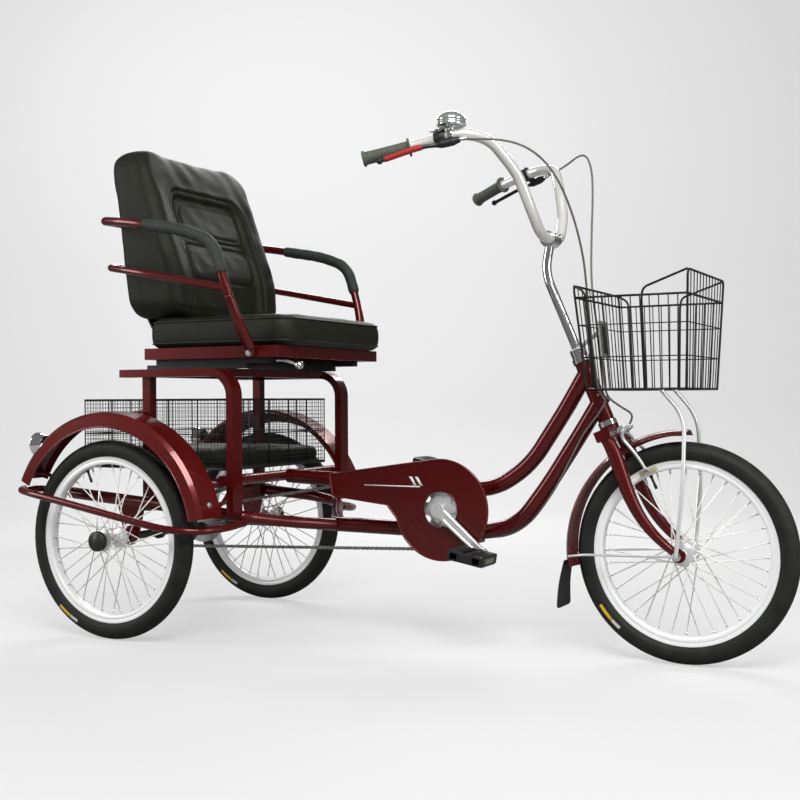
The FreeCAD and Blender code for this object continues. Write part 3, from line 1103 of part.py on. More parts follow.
def make_rear_sides():
    guard = rear_guard()
    centre = V(REAR_GUARD_X, 0, REAR_GUARD_Z)
    side_bar = bent_bar(points(SIDE_BAR_POINTS), SIDE_BAR_R).cut(nodes["rail_left"])
    side_bar = max(side_bar.Solids, key=lambda solid: solid.Volume)
    arms = []
    for angle in (REAR_GUARD_FROM + GUARD_ARM_TURN, 90, REAR_GUARD_TO - GUARD_ARM_TURN):
        outer = on_arc(centre, REAR_GUARD_R - GUARD_ARM_R - SHEET, angle, REAR_GUARD_OUTER_Y - REAR_GUARD_LIP)
        if angle == 90:
            arms.append(bent_bar([outer, V(outer.x, STAND_Y + STAND_WIDTH, outer.z),
                                  V(UPRIGHT_X, UPRIGHT_Y, outer.z + GUARD_ARM_R * 2)], GUARD_ARM_R))
        elif angle < 90:
            arms.append(bent_bar([outer, V(outer.x, STAND_Y + STAND_WIDTH, outer.z + GUARD_ARM_R),
                                  V(STAND_LEG_X - STAND_HEIGHT, STAND_Y, outer.z + GUARD_ARM_R * 6)], GUARD_ARM_R))
        else:
            rail_end = V(*RAIL_POINTS[-1])
            arms.append(bent_bar([outer, V(outer.x, outer.y - STAND_WIDTH, outer.z),
                                  rail_end + V(STAND_HEIGHT, 0, 0)], GUARD_ARM_R))
    support = [arm.cut(guard).cut(nodes["stand_left"]).cut(nodes["rail_left"]).cut(side_bar) for arm in arms]
    support = [max(arm.Solids, key=lambda solid: solid.Volume) for arm in support]
    lamp_angle = math.degrees(math.asin((LAMP_Z - REAR_GUARD_Z) / REAR_GUARD_R))
    shell_x = REAR_GUARD_X - REAR_GUARD_R * math.cos(math.radians(lamp_angle))
    stalk = rod(V(shell_x + OVERRUN * 2, LAMP_Y, LAMP_Z), V(LAMP_REAR_X + LAMP_DEPTH, LAMP_Y, LAMP_Z), LAMP_STALK_R)
    body = Part.makeCone(LAMP_R, LAMP_FRONT_R, LAMP_DEPTH, V(LAMP_REAR_X, LAMP_Y, LAMP_Z), FORWARD)
    lamp = fuse(body, stalk).cut(guard)
    lamp = max(lamp.Solids, key=lambda solid: solid.Volume)
    put("mudguard_left", guard)
    put("mudguard_right", mirrored(guard))
    put("side_bar_left", side_bar)
    put("side_bar_right", mirrored(side_bar))
    put("mudguard_arms", *support, *[mirrored(arm) for arm in support])
    put("tail_lamps", lamp, mirrored(lamp))


make_wheels()
make_head()
make_fork()
make_front_guard()
make_front_stays()
make_front_basket()
make_frame()
make_chain()
make_drive()
make_chain_guard()
make_seat_base()
make_backrest()
make_armrests()
make_rear_basket()
make_rear_sides()
make_bar_controls()
make_front_brake()
make_rear_brake()
make_cables()

whole = Part.makeCompound(list(nodes.values())).optimalBoundingBox(False, False)
SHIFT = -(whole.XMin + whole.XMax) / 2
for name, shape in nodes.items():
    shape.translate(FORWARD * SHIFT)
    shape.exportStep("parts/" + name + ".step")
    for solid in shape.Solids:
        if not solid.isValid():
            print("not valid:", name)
print("nodes", len(nodes), "solids", sum(len(shape.Solids) for shape in nodes.values()))
print("shift", round(SHIFT, 3), "length", round(whole.XLength, 1), "width", round(whole.YLength, 1),
      "height", round(whole.ZMax, 1), "lowest", round(whole.ZMin, 3))
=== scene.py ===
# %% [markdown]
# A pedal tricycle with an armchair, dressed for a studio picture
#
# The frame that is loaded below gives the machine's solids in their real places, in metres: x runs forward,
# y to the rider's left and z up. This file gives those solids their finishes, and builds as fine surfaces
# what the solids only block out: treads, spokes, wire, chain, upholstery, grips and cables.
#
# Nearly every new piece is a surface worked out with numpy. A profile is carried along a path, or a function
# of two parameters is evaluated on a grid, and the whole array of points goes into a mesh at once.

# %% Load the frame
import math

import bmesh
import bpy
import numpy as np
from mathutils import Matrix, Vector


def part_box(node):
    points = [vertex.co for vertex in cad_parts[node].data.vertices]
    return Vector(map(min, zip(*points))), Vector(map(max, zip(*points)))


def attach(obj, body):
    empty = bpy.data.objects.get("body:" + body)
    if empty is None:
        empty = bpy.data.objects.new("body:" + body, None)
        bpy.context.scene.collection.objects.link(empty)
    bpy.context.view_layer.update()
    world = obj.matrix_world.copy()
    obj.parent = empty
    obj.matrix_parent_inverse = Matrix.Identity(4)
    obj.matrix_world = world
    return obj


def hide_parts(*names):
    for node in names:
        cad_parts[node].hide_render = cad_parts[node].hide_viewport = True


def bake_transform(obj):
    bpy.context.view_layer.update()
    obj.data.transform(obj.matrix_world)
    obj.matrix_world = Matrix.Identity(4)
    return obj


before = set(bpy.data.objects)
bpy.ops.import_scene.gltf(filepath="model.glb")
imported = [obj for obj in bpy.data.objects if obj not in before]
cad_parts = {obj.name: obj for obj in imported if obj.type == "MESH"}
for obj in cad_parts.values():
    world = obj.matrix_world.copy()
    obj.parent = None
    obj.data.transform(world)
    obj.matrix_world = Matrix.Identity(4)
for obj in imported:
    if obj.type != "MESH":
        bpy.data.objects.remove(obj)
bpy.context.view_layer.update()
tyre_low, tyre_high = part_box("rear_tyre_right")
REAR_X = (tyre_low.x + tyre_high.x) / 2
front_low, front_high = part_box("front_tyre")
FRONT_X = (front_low.x + front_high.x) / 2
AXLE_Z = (tyre_low.z + tyre_high.z) / 2
print("rear axle at x", round(REAR_X, 4), "front axle at x", round(FRONT_X, 4), "height", round(AXLE_Z, 4))


def place(x, y, z):
    """A point in the frame from millimetres measured forward from the rear axle, left and up."""
    return np.array([REAR_X + x / 1000, y / 1000, z / 1000])


def places(rows):
    """The same for many points."""
    return np.array([place(*row) for row in rows])


# %% [markdown]
# The camera. The three rims are circles of one known size, so the ellipses that they make in the picture
# fix where the lens stood: about 0.6 m up, off the right-hand front quarter. A lens of 54 mm on a 36 mm
# sensor gives the same perspective. It looks level, with a roll of 0.3 degrees as the photograph has.

# %% Camera
EYE = (2048.65, -2683.6, 596.6)
EYE_TURN, EYE_ROLL = 27.7, 0.3
LENS, SENSOR = 54.03, 36
camera = bpy.data.objects.new("camera", bpy.data.cameras.new("camera"))
camera.data.lens = LENS
camera.data.sensor_width = SENSOR
camera.location = place(*EYE)
camera.rotation_euler = (math.radians(90), math.radians(EYE_ROLL), math.radians(EYE_TURN))
bpy.context.scene.collection.objects.link(camera)
bpy.context.scene.camera = camera

# %% [markdown]
# The stage. A shiny machine is lit by what it reflects, so it stands on a pale floor that curves up into a
# pale wall, under large soft lights. The key light is high on the camera's side, a second one fills from the
# front, and a long strip behind draws the bright lines along the tubes.

# %% Floor and lights
FLOOR_NEAR, WALL_START, WALL_BEND, WALL_TOP, HALF_WIDTH = -9.0, 3.2, 1.5, 7.0, 9.0
PAPER_SEEN, PAPER_FELT, PAPER_GLOW = 0.32, 0.30, 0.47
AIR_SEEN, AIR_FELT = 0.85, 0.16


def backdrop():
    """A floor that rises in a quarter circle into a wall: the section is (distance, height)."""
    turn = np.linspace(0, math.pi / 2, 16)
    away = np.concatenate([[FLOOR_NEAR], WALL_START + WALL_BEND * np.sin(turn), [WALL_START + WALL_BEND]])
    rise = np.concatenate([[0.0], WALL_BEND - WALL_BEND * np.cos(turn), [WALL_TOP]])
    facing = math.radians(EYE_TURN)
    ahead = np.array([-math.sin(facing), math.cos(facing), 0])
    across = np.array([math.cos(facing), math.sin(facing), 0])
    line = away[:, None] * ahead + rise[:, None] * np.array([0, 0, 1.0])
    grid = line[:, None, :] + np.array([-HALF_WIDTH, HALF_WIDTH])[None, :, None] * across
    count = len(line)
    rows = np.arange(count - 1)
    faces = np.stack([rows * 2, rows * 2 + 1, rows * 2 + 3, rows * 2 + 2], 1)
    mesh = bpy.data.meshes.new("backdrop")
    mesh.from_pydata(grid.reshape(-1, 3).tolist(), [], faces.tolist())
    mesh.polygons.foreach_set("use_smooth", np.ones(len(faces), bool))
    made = bpy.data.objects.new("backdrop", mesh)
    bpy.context.scene.collection.objects.link(made)
    return made


def area_light(name, where, aim, size, power, colour=(1, 1, 1)):
    data = bpy.data.lights.new(name, "AREA")
    data.shape = "RECTANGLE"
    data.size, data.size_y = size
    data.energy = power
    data.color = colour
    lamp = bpy.data.objects.new(name, data)
    lamp.location = where
    lamp.rotation_euler = (Vector(aim) - Vector(where)).to_track_quat("-Z", "Y").to_euler()
    bpy.context.scene.collection.objects.link(lamp)
    return lamp


def camera_only(tree, seen, felt):
    """A grey that the camera sees, and a darker one that light and reflections find."""
    path = tree.nodes.new("ShaderNodeLightPath")
    mix = tree.nodes.new("ShaderNodeMix")
    mix.data_type = "RGBA"
    mix.inputs[6].default_value = (felt, felt, felt, 1)
    mix.inputs[7].default_value = (seen, seen, seen * 1.005, 1)
    tree.links.new(path.outputs["Is Camera Ray"], mix.inputs[0])
    return mix.outputs[2]


floor = backdrop()
paper = bpy.data.materials.new("stage_paper")
paper.use_nodes = True
paper_shader = paper.node_tree.nodes["Principled BSDF"]
paper.node_tree.links.new(camera_only(paper.node_tree, PAPER_SEEN, PAPER_FELT),
                          paper_shader.inputs["Base Color"])
paper.node_tree.links.new(camera_only(paper.node_tree, PAPER_GLOW, 0.0),
                          paper_shader.inputs["Emission Color"])
paper_shader.inputs["Emission Strength"].default_value = 1.0
paper_shader.inputs["Roughness"].default_value = 0.9
floor.data.materials.append(paper)
area_light("key", (1.6, -2.6, 3.4), (0, 0, 0.5), (2.2, 1.8), 150)
area_light("fill", (3.4, -0.6, 1.6), (0, 0, 0.5), (1.2, 2.2), 40)
area_light("rim_strip", (-1.4, 2.6, 2.6), (0, 0, 0.6), (3.0, 0.6), 80)
area_light("left_card", (-2.9, -2.0, 1.6), (0, 0, 0.5), (1.0, 2.0), 40)
area_light("wall_wash", (-1.6, 1.6, 2.6), (-3.2, 6.0, 1.6), (4.0, 1.0), 75)
world = bpy.data.worlds.new("studio")
world.use_nodes = True
studio_air = world.node_tree.nodes["Background"]
world.node_tree.links.new(camera_only(world.node_tree, AIR_SEEN, AIR_FELT), studio_air.inputs["Color"])
studio_air.inputs["Strength"].default_value = 1.0
bpy.context.scene.world = world
bpy.context.scene.view_settings.view_transform = "Standard"

# %% [markdown]
# Shells. A shell is a pair of arrays: points, and faces as rows of point numbers. Small functions make one
# shell each, others place copies of it, and one function joins any number of shells into a mesh. Working on
# whole arrays keeps a chain or a basket with its many wires as quick to make as a single bar.

# %% Shells and meshes
def grid_faces(rows, columns, wrap_rows, wrap_columns):
    """Quads between neighbours on a grid of points, row by row; a wrapped direction joins its two ends."""
    r = np.arange(rows if wrap_rows else rows - 1)[:, None]
    c = np.arange(columns if wrap_columns else columns - 1)[None, :]
    below, beside = (r + 1) % rows, (c + 1) % columns
    quads = [r * columns + c, r * columns + beside, below * columns + beside, below * columns + c]
    return np.stack([q.ravel() if q.size == r.size * c.size else (q + 0 * (r + c)).ravel() for q in quads], 1)


def join(*shells):
    """One shell from several. Triangles are kept as quads whose last corner is -1."""
    points, faces, offset = [], [], 0
    for p, f in shells:
        points.append(p)
        if f.shape[1] == 3:
            f = np.hstack([f, np.full((len(f), 1), -1)])
        faces.append(np.where(f < 0, -1, f + offset))
        offset += len(p)
    return np.concatenate(points), np.concatenate(faces)


def copies(shell, turns, shifts):
    """Copies of a shell, each turned by a 3x3 matrix and then moved: one row of turns and shifts per copy."""
    points, faces = shell
    if faces.shape[1] == 3:
        faces = np.hstack([faces, np.full((len(faces), 1), -1)])
    count = len(shifts)
    moved = np.einsum("nij,pj->npi", turns, points) + shifts[:, None, :]
    steps = (np.arange(count) * len(points))[:, None, None]
    many = np.where(faces[None] < 0, -1, faces[None] + steps)
    return moved.reshape(-1, 3), many.reshape(-1, 4)


def mirrored(shell):
    """The same shell on the machine's other side, its faces turned back outwards."""
    points, faces = shell
    points = points * np.array([1, -1, 1])
    if faces.shape[1] == 4:
        three = faces[:, 3] < 0
        flipped = faces[:, ::-1].copy()
        flipped[three] = np.stack([faces[three, 2], faces[three, 1], faces[three, 0], faces[three, 3]], 1)
        return points, flipped
    return points, faces[:, ::-1].copy()


def tangents(path, closed=False):
    """Unit directions along a path, from the points on each side."""
    if closed:
        along = np.roll(path, -1, 0) - np.roll(path, 1, 0)
    else:
        along = np.gradient(path, axis=0)
    return along / np.linalg.norm(along, axis=1, keepdims=True)


def carry(path, profile, closed=False, up=None):
    """Carry a profile along a path. profile is (points, 2) or (stations, points, 2): across and up from it.
    Without up, the section's frame is turned as little as possible from one station to the next."""
    along = tangents(path, closed)
    side = np.zeros_like(path)
    first = np.cross(along[0], [0, 0, 1.0]) if up is None else np.cross(along[0], up)
    if np.linalg.norm(first) < 1e-6:
        first = np.cross(along[0], [0, 1.0, 0])
    side[0] = first / np.linalg.norm(first)
    for i in range(1, len(path)):
        kept = side[i - 1] - along[i] * (side[i - 1] @ along[i])
        if up is not None:
            kept = np.cross(along[i], up)
        side[i] = kept / np.linalg.norm(kept)
    top = np.cross(side, along)
    sections = profile if profile.ndim == 3 else np.repeat(profile[None], len(path), 0)
    points = path[:, None] + sections[..., :1] * side[:, None] + sections[..., 1:] * top[:, None]
    rows, columns = points.shape[:2]
    quads = grid_faces(rows, columns, closed, True)
    points = points.reshape(-1, 3)
    if closed:
        return points, quads
    ends = np.array([path[0], path[-1]])
    ring = np.arange(columns)
    low = np.stack([np.roll(ring, -1), ring, np.full(columns, rows * columns)], 1)
    last = (rows - 1) * columns
    high = np.stack([last + ring, last + np.roll(ring, -1), np.full(columns, rows * columns + 1)], 1)
    return join((np.concatenate([points, ends]), np.concatenate([
        quads, np.hstack([low, np.full((columns, 1), -1)]), np.hstack([high, np.full((columns, 1), -1)])])))


def circle(sides):
    """A unit circle, walked so that a carried section faces outwards."""
    angle = -np.linspace(0, 2 * math.pi, sides, endpoint=False)
    return np.stack([np.cos(angle), np.sin(angle)], 1)


def tube(path, radius, sides=12, closed=False):
    """A round bar along a path; radius may change from station to station."""
    radius = np.broadcast_to(np.asarray(radius, float), (len(path),))
    return carry(path, circle(sides)[None] * radius[:, None, None], closed)


def lathe(profile, centre, steps=64, closed=True):
    """Turn a profile of (radius, sideways) points round an axle that runs along y.
    A closed profile goes once round its own section; an open one starts and ends on the axle."""
    profile = np.asarray(profile, float)
    angle = np.linspace(0, 2 * math.pi, steps, endpoint=False)
    ring = np.stack([np.cos(angle), np.zeros(steps), np.sin(angle)], 1)
    points = profile[:, None, :1] * ring[None] + np.array([0, 1.0, 0]) * profile[:, None,
                                                                                 1:] + np.asarray(centre)
    return points.reshape(-1, 3), grid_faces(len(profile), steps, closed, True)


def turned(shell, axis):
    """Swing a shell made round the y axle at the origin, so that its axle points along another axis."""
    axis = np.asarray(axis, float) / np.linalg.norm(axis)
    other = np.cross(axis, [0, 0, 1.0])
    if np.linalg.norm(other) < 1e-6:
        other = np.array([1.0, 0, 0])
    other = other / np.linalg.norm(other)
    basis = np.stack([other, axis, np.cross(other, axis)], 1)
    points, faces = shell
    return points @ basis.T, faces


def moved(shell, shift):
    return shell[0] + np.asarray(shift), shell[1]


def smooth_path(rows, count=64, closed=False):
    """A soft curve through every given point: between two points it is a cubic whose slopes come from their
    neighbours, walked at even steps of length."""
    rows = np.asarray(rows, float)
    if closed:
        padded = np.concatenate([rows[-1:], rows, rows[:2]])
    else:
        padded = np.concatenate([[2 * rows[0] - rows[1]], rows, [2 * rows[-1] - rows[-2]]])
    t = np.linspace(0, 1, 24, endpoint=False)[:, None]
    parts = []
    for a, b, c, d in zip(padded, padded[1:], padded[2:], padded[3:]):
        parts.append(0.5 * (2 * b + (c - a) * t + (2 * a - 5 * b + 4 * c - d) * t ** 2
                            + (3 * b - a - 3 * c + d) * t ** 3))
    fine = np.concatenate(parts + ([] if closed else [rows[-1:]]))
    if closed:
        fine = np.concatenate([fine, fine[:1]])
    length = np.concatenate([[0], np.cumsum(np.linalg.norm(np.diff(fine, axis=0), axis=1))])
    wanted = np.linspace(0, length[-1], count, endpoint=not closed)
    return np.stack([np.interp(wanted, length, fine[:, k]) for k in range(3)], 1)


def close_up(mesh):
    """Join the points of a pole or seam that lie on each other, and turn a closed surface's faces outward."""
    work = bmesh.new()
    work.from_mesh(mesh)
    bmesh.ops.remove_doubles(work, verts=work.verts, dist=0.00002)
    if all(len(edge.link_faces) == 2 for edge in work.edges):
        bmesh.ops.recalc_face_normals(work, faces=work.faces)
    work.to_mesh(mesh)
    work.free()


def build(name, shell, body, material, stands_for=(), smooth=True):
    """A mesh from a shell, put into the scene, riding on a body and dressed in a material."""
    points, faces = shell
    if faces.shape[1] == 3:
        faces = np.hstack([faces, np.full((len(faces), 1), -1)])
    sizes = np.where(faces[:, 3] < 0, 3, 4)
    corners = faces.ravel()
    corners = corners[corners >= 0]
    mesh = bpy.data.meshes.new(name)
    mesh.vertices.add(len(points))
    mesh.vertices.foreach_set("co", np.asarray(points, np.float32).ravel())
    mesh.loops.add(len(corners))
    mesh.loops.foreach_set("vertex_index", corners.astype(np.int32))
    mesh.polygons.add(len(sizes))
    mesh.polygons.foreach_set("loop_start", np.concatenate([[0], np.cumsum(sizes)[:-1]]).astype(np.int32))
    mesh.polygons.foreach_set("use_smooth", np.full(len(sizes), smooth))
    mesh.update(calc_edges=True)
    mesh.validate()
    close_up(mesh)
    mesh.materials.append(material)
    made = bpy.data.objects.new(name, mesh)
    bpy.context.scene.collection.objects.link(made)
    if body:
        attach(made, body)
    if stands_for:
        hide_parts(*stands_for)
    return made


def crease(piece, degrees=35):
    """Keep edges sharper than this angle sharp, and shade the rest as one round surface."""
    split = piece.modifiers.new("crease", "EDGE_SPLIT")
    split.split_angle = math.radians(degrees)
    return piece


# %% [markdown]
# Shader groups. Real finishes share their small faults: dust that settles, fine grain, uneven polish. Each
# such effect is a node group with named sockets, built once and set differently in every material.

# %% Shared shader groups
def group(name, inputs, outputs):
    """An empty node group with its sockets: each is (name, kind, default)."""
    tree = bpy.data.node_groups.new(name, "ShaderNodeTree")
    for label, kind, default in inputs:
        socket = tree.interface.new_socket(label, in_out="INPUT", socket_type=kind)
        if default is not None:
            socket.default_value = default
    for label, kind in outputs:
        tree.interface.new_socket(label, in_out="OUTPUT", socket_type=kind)
    return tree, tree.nodes.new("NodeGroupInput"), tree.nodes.new("NodeGroupOutput")


def node(tree, kind, values=None, **settings):
    made = tree.nodes.new(kind)
    for key, value in settings.items():
        setattr(made, key, value)
    for key, value in (values or {}).items():
        made.inputs[key].default_value = value
    return made


def noise(tree, scale, detail=3.0, roughness=0.5):
    """Cloudy noise on the piece's own coordinates."""
    where = node(tree, "ShaderNodeTexCoord")
    cloud = node(tree, "ShaderNodeTexNoise", {"Detail": detail, "Roughness": roughness})
    tree.links.new(where.outputs["Object"], cloud.inputs["Vector"])
    if isinstance(scale, (int, float)):
        cloud.inputs["Scale"].default_value = scale
    else:
        tree.links.new(scale, cloud.inputs["Scale"])
    return cloud.outputs["Fac"]


def spread(tree, value, low, high, out_low, out_high):
    """Stretch a value from one range to another, and stop at the ends."""
    made = node(tree, "ShaderNodeMapRange",
                {"From Min": low, "From Max": high, "To Min": out_low, "To Max": out_high})
    tree.links.new(value, made.inputs["Value"])
    return made.outputs["Result"]


def multiply(tree, a, b):
    made = node(tree, "ShaderNodeMath", operation="MULTIPLY")
    for socket, value in zip(made.inputs, (a, b)):
        if isinstance(value, (int, float)):
            socket.default_value = value
        else:
            tree.links.new(value, socket)
    return made.outputs[0]


def mix_colour(tree, factor, first, second):
    made = node(tree, "ShaderNodeMix", data_type="RGBA")
    tree.links.new(factor, made.inputs[0])
    for socket, value in ((made.inputs[6], first), (made.inputs[7], second)):
        if isinstance(value, tuple):
            socket.default_value = value
        else:
            tree.links.new(value, socket)
    return made.outputs[2]


def make_dust():
    """Dust that lies on what faces up: colour and roughness are mixed by a patchy mask."""
    tree, start, end = group("dust", [("Color", "NodeSocketColor", (0.5, 0.5, 0.5, 1)),
                                      ("Roughness", "NodeSocketFloat", 0.3),
                                      ("Amount", "NodeSocketFloat", 0.2),
                                      ("Patch Size", "NodeSocketFloat", 30.0)],
                             [("Color", "NodeSocketColor"), ("Roughness", "NodeSocketFloat")])
    facing = node(tree, "ShaderNodeSeparateXYZ")
    surface = node(tree, "ShaderNodeNewGeometry")
    tree.links.new(surface.outputs["Normal"], facing.inputs[0])
    up = spread(tree, facing.outputs["Z"], 0.2, 1.0, 0.15, 1.0)
    patches = spread(tree, noise(tree, start.outputs["Patch Size"], 5.0), 0.35, 0.75, 0.0, 1.0)
    mask = multiply(tree, multiply(tree, up, patches), start.outputs["Amount"])
    colour = mix_colour(tree, mask, start.outputs["Color"], (0.42, 0.40, 0.37, 1))
    rough = node(tree, "ShaderNodeMix", data_type="FLOAT")
    tree.links.new(mask, rough.inputs[0])
    tree.links.new(start.outputs["Roughness"], rough.inputs[2])
    rough.inputs[3].default_value = 0.8
    tree.links.new(colour, end.inputs["Color"])
    tree.links.new(rough.outputs[0], end.inputs["Roughness"])
    return tree


def make_grain():
    """Fine bumps in cells, as on hide or moulded rubber: a height from two sizes of cell."""
    tree, start, end = group("grain",
                             [("Scale", "NodeSocketFloat", 600.0), ("Depth", "NodeSocketFloat", 1.0)],
                             [("Height", "NodeSocketFloat")])
    where = node(tree, "ShaderNodeTexCoord")
    cells = node(tree, "ShaderNodeTexVoronoi", feature="DISTANCE_TO_EDGE")
    tree.links.new(where.outputs["Object"], cells.inputs["Vector"])
    tree.links.new(start.outputs["Scale"], cells.inputs["Scale"])
    ridge = spread(tree, cells.outputs["Distance"], 0.0, 0.22, 0.0, 1.0)
    cloud = noise(tree, multiply(tree, start.outputs["Scale"], 0.35), 4.0)
    both = node(tree, "ShaderNodeMath", operation="MULTIPLY_ADD")
    tree.links.new(ridge, both.inputs[0])
    both.inputs[1].default_value = 0.7
    tree.links.new(cloud, both.inputs[2])
    tree.links.new(multiply(tree, both.outputs[0], start.outputs["Depth"]), end.inputs["Height"])
    return tree


def make_smudge():
    """Uneven polish: a roughness that drifts between two values in fine clouds."""
    tree, start, end = group("smudge", [("Low", "NodeSocketFloat", 0.1), ("High", "NodeSocketFloat", 0.25),
                                        ("Scale", "NodeSocketFloat", 25.0)],
                             [("Roughness", "NodeSocketFloat")])
    cloud = spread(tree, noise(tree, start.outputs["Scale"], 6.0, 0.65), 0.3, 0.75, 0.0, 1.0)
    made = node(tree, "ShaderNodeMix", data_type="FLOAT")
    tree.links.new(cloud, made.inputs[0])
    tree.links.new(start.outputs["Low"], made.inputs[2])
    tree.links.new(start.outputs["High"], made.inputs[3])
    tree.links.new(made.outputs[0], end.inputs["Roughness"])
    return tree


DUST, GRAIN, SMUDGE = make_dust(), make_grain(), make_smudge()


# %% [markdown]
# Finishes. The red is a candy paint: a dark, slightly metallic red under a clear coat, so that it goes nearly
# black in shade and glows at the lights. Bright parts are chrome or satin alloy, and the blacks all differ:
# dull tyre rubber, grained hide, satin wire and moulded plastic.

# %% Materials
def material(name, colour, second=None, metallic=0.0, rough=(0.3, 0.4), cloud=40.0, dust=0.1, coat=0.0,
             grain=None, specular=0.5):
    """A finish: two close colours in clouds, roughness that drifts, dust, and grain as bump if it has any.
    grain is (cells per metre, depth in metres, strength)."""
    made = bpy.data.materials.new(name)
    made.use_nodes = True
    tree = made.node_tree
    shader = tree.nodes["Principled BSDF"]
    shader.inputs["Metallic"].default_value = metallic
    shader.inputs["Specular IOR Level"].default_value = specular
    if coat:
        shader.inputs["Coat Weight"].default_value = coat
        shader.inputs["Coat Roughness"].default_value = 0.06
    base = mix_colour(tree, spread(tree, noise(tree, cloud, 4.0), 0.3, 0.7, 0.0, 1.0), (*colour, 1),
                      (*(second or tuple(c * 0.8 for c in colour)), 1))
    polish = node(tree, "ShaderNodeGroup", node_tree=SMUDGE)
    polish.inputs["Low"].default_value, polish.inputs["High"].default_value = rough
    polish.inputs["Scale"].default_value = cloud
    settle = node(tree, "ShaderNodeGroup", node_tree=DUST)
    settle.inputs["Amount"].default_value = dust
    tree.links.new(base, settle.inputs["Color"])
    tree.links.new(polish.outputs[0], settle.inputs["Roughness"])
    tree.links.new(settle.outputs["Color"], shader.inputs["Base Color"])
    tree.links.new(settle.outputs["Roughness"], shader.inputs["Roughness"])
    if grain:
        cells = node(tree, "ShaderNodeGroup", node_tree=GRAIN)
        cells.inputs["Scale"].default_value = grain[0]
        bump = node(tree, "ShaderNodeBump", {"Strength": grain[2], "Distance": grain[1]})
        tree.links.new(cells.outputs["Height"], bump.inputs["Height"])
        tree.links.new(bump.outputs["Normal"], shader.inputs["Normal"])
    return made


RED = material("candy_red", (0.110, 0.0046, 0.0042), (0.085, 0.0034, 0.0034), 0.35, (0.22, 0.32), 18, 0.008,
               0.45, specular=0.25)
GUARD_RED = material("mudguard_red", (0.155, 0.0078, 0.0062), (0.120, 0.0058, 0.0052), 0.35, (0.2, 0.3), 14,
                     0.015, 0.6, specular=0.35)
CHROME = material("chrome", (0.90, 0.90, 0.89), (0.84, 0.84, 0.84), 1.0, (0.07, 0.16), 30, 0.01)
BAR_CHROME = material("bar_chrome", (0.90, 0.89, 0.84), (0.84, 0.83, 0.79), 0.40, (0.18, 0.28), 24, 0.01, 0.4)
BELL_SILVER = material("bell_silver", (0.56, 0.61, 0.57), (0.50, 0.55, 0.51), 0.75, (0.16, 0.26), 40,
                       0.02, 0.3)
ALLOY = material("satin_alloy", (0.86, 0.87, 0.87), (0.80, 0.81, 0.82), 0.55, (0.28, 0.40), 40, 0.03)
RIM_SILVER = material("rim_silver", (0.97, 0.975, 0.975), (0.95, 0.955, 0.96), 0.05, (0.26, 0.34), 12, 0.008)
SPOKE = material("spoke_steel", (0.96, 0.94, 0.90), (0.90, 0.88, 0.84), 0.10, (0.25, 0.35), 60, 0.01)
ZINC = material("zinc_plate", (0.58, 0.58, 0.57), (0.44, 0.44, 0.43), 0.85, (0.30, 0.48), 70, 0.04)
DARK_STEEL = material("dark_steel", (0.07, 0.07, 0.075), (0.035, 0.035, 0.04), 0.8, (0.35, 0.55), 60, 0.06)
WIRE_BLACK = material("wire_black", (0.008, 0.009, 0.008), (0.015, 0.015, 0.013), 0.0, (0.30, 0.44), 80, 0.02,
                      specular=0.3)
TYRE_RUBBER = material("tyre_rubber", (0.0105, 0.011, 0.0085), (0.018, 0.018, 0.015), 0.0, (0.50, 0.70), 30,
                       0.04, grain=(900, 0.0004, 0.25), specular=0.25)
RUBBER = material("black_rubber", (0.012, 0.012, 0.012), (0.022, 0.021, 0.020), 0.0, (0.5, 0.7), 50, 0.05,
                  grain=(1200, 0.0004, 0.3), specular=0.3)
GRIP_RUBBER = material("grip_rubber", (0.105, 0.115, 0.090), (0.078, 0.086, 0.068), 0.0, (0.5, 0.65), 60,
                       0.03, grain=(1400, 0.0004, 0.35), specular=0.3)
FOAM = material("sleeve_foam", (0.020, 0.026, 0.020), (0.032, 0.038, 0.031), 0.0, (0.5, 0.7), 60, 0.03,
                grain=(1500, 0.0005, 0.5), specular=0.4)
HIDE = material("chair_hide", (0.0105, 0.0118, 0.0062), (0.0140, 0.0152, 0.0085), 0.0, (0.48, 0.60), 9, 0.006,
                grain=(750, 0.0006, 0.30), specular=0.22)
PIPING = material("piping", (0.009, 0.010, 0.007), (0.014, 0.015, 0.011), 0.0, (0.35, 0.5), 60, 0.02,
                  grain=(1400, 0.0004, 0.3), specular=0.35)
PLASTIC = material("black_plastic", (0.010, 0.010, 0.010), (0.016, 0.016, 0.016), 0.0, (0.32, 0.48), 60, 0.03,
                   grain=(1600, 0.0003, 0.25), specular=0.35)
RED_RUBBER = material("lever_sleeve", (0.42, 0.020, 0.014), (0.33, 0.013, 0.010), 0.0, (0.4, 0.5), 60, 0.02)
PAD_TAN = material("brake_pad", (0.52, 0.47, 0.26), (0.42, 0.38, 0.22), 0.0, (0.55, 0.7), 80, 0.05)
LABEL_YELLOW = material("label_yellow", (0.78, 0.50, 0.03), (0.70, 0.44, 0.03), 0.0, (0.45, 0.6), 60, 0.05)
LABEL_PALE = material("label_pale", (0.70, 0.66, 0.58), (0.60, 0.56, 0.50), 0.0, (0.45, 0.6), 60, 0.05)
LENS_RED = material("lens_red", (0.42, 0.006, 0.006), (0.34, 0.004, 0.004), 0.0, (0.08, 0.16), 60, 0.02, 1.0)
CABLE_GREY = material("cable_grey", (0.16, 0.15, 0.125), (0.12, 0.115, 0.10), 0.0, (0.4, 0.5), 60, 0.02)
CHAIN_STEEL = material("chain_steel", (0.42, 0.40, 0.38), (0.20, 0.18, 0.16), 0.85, (0.30, 0.50), 120, 0.03)
CRANK_ALLOY = material("crank_alloy", (0.88, 0.88, 0.87), (0.80, 0.80, 0.80), 0.6, (0.16, 0.28), 40, 0.02)
STRIPE_WHITE = material("stripe_white", (0.82, 0.81, 0.79), (0.76, 0.75, 0.73), 0.0, (0.3, 0.4), 60, 0.02)
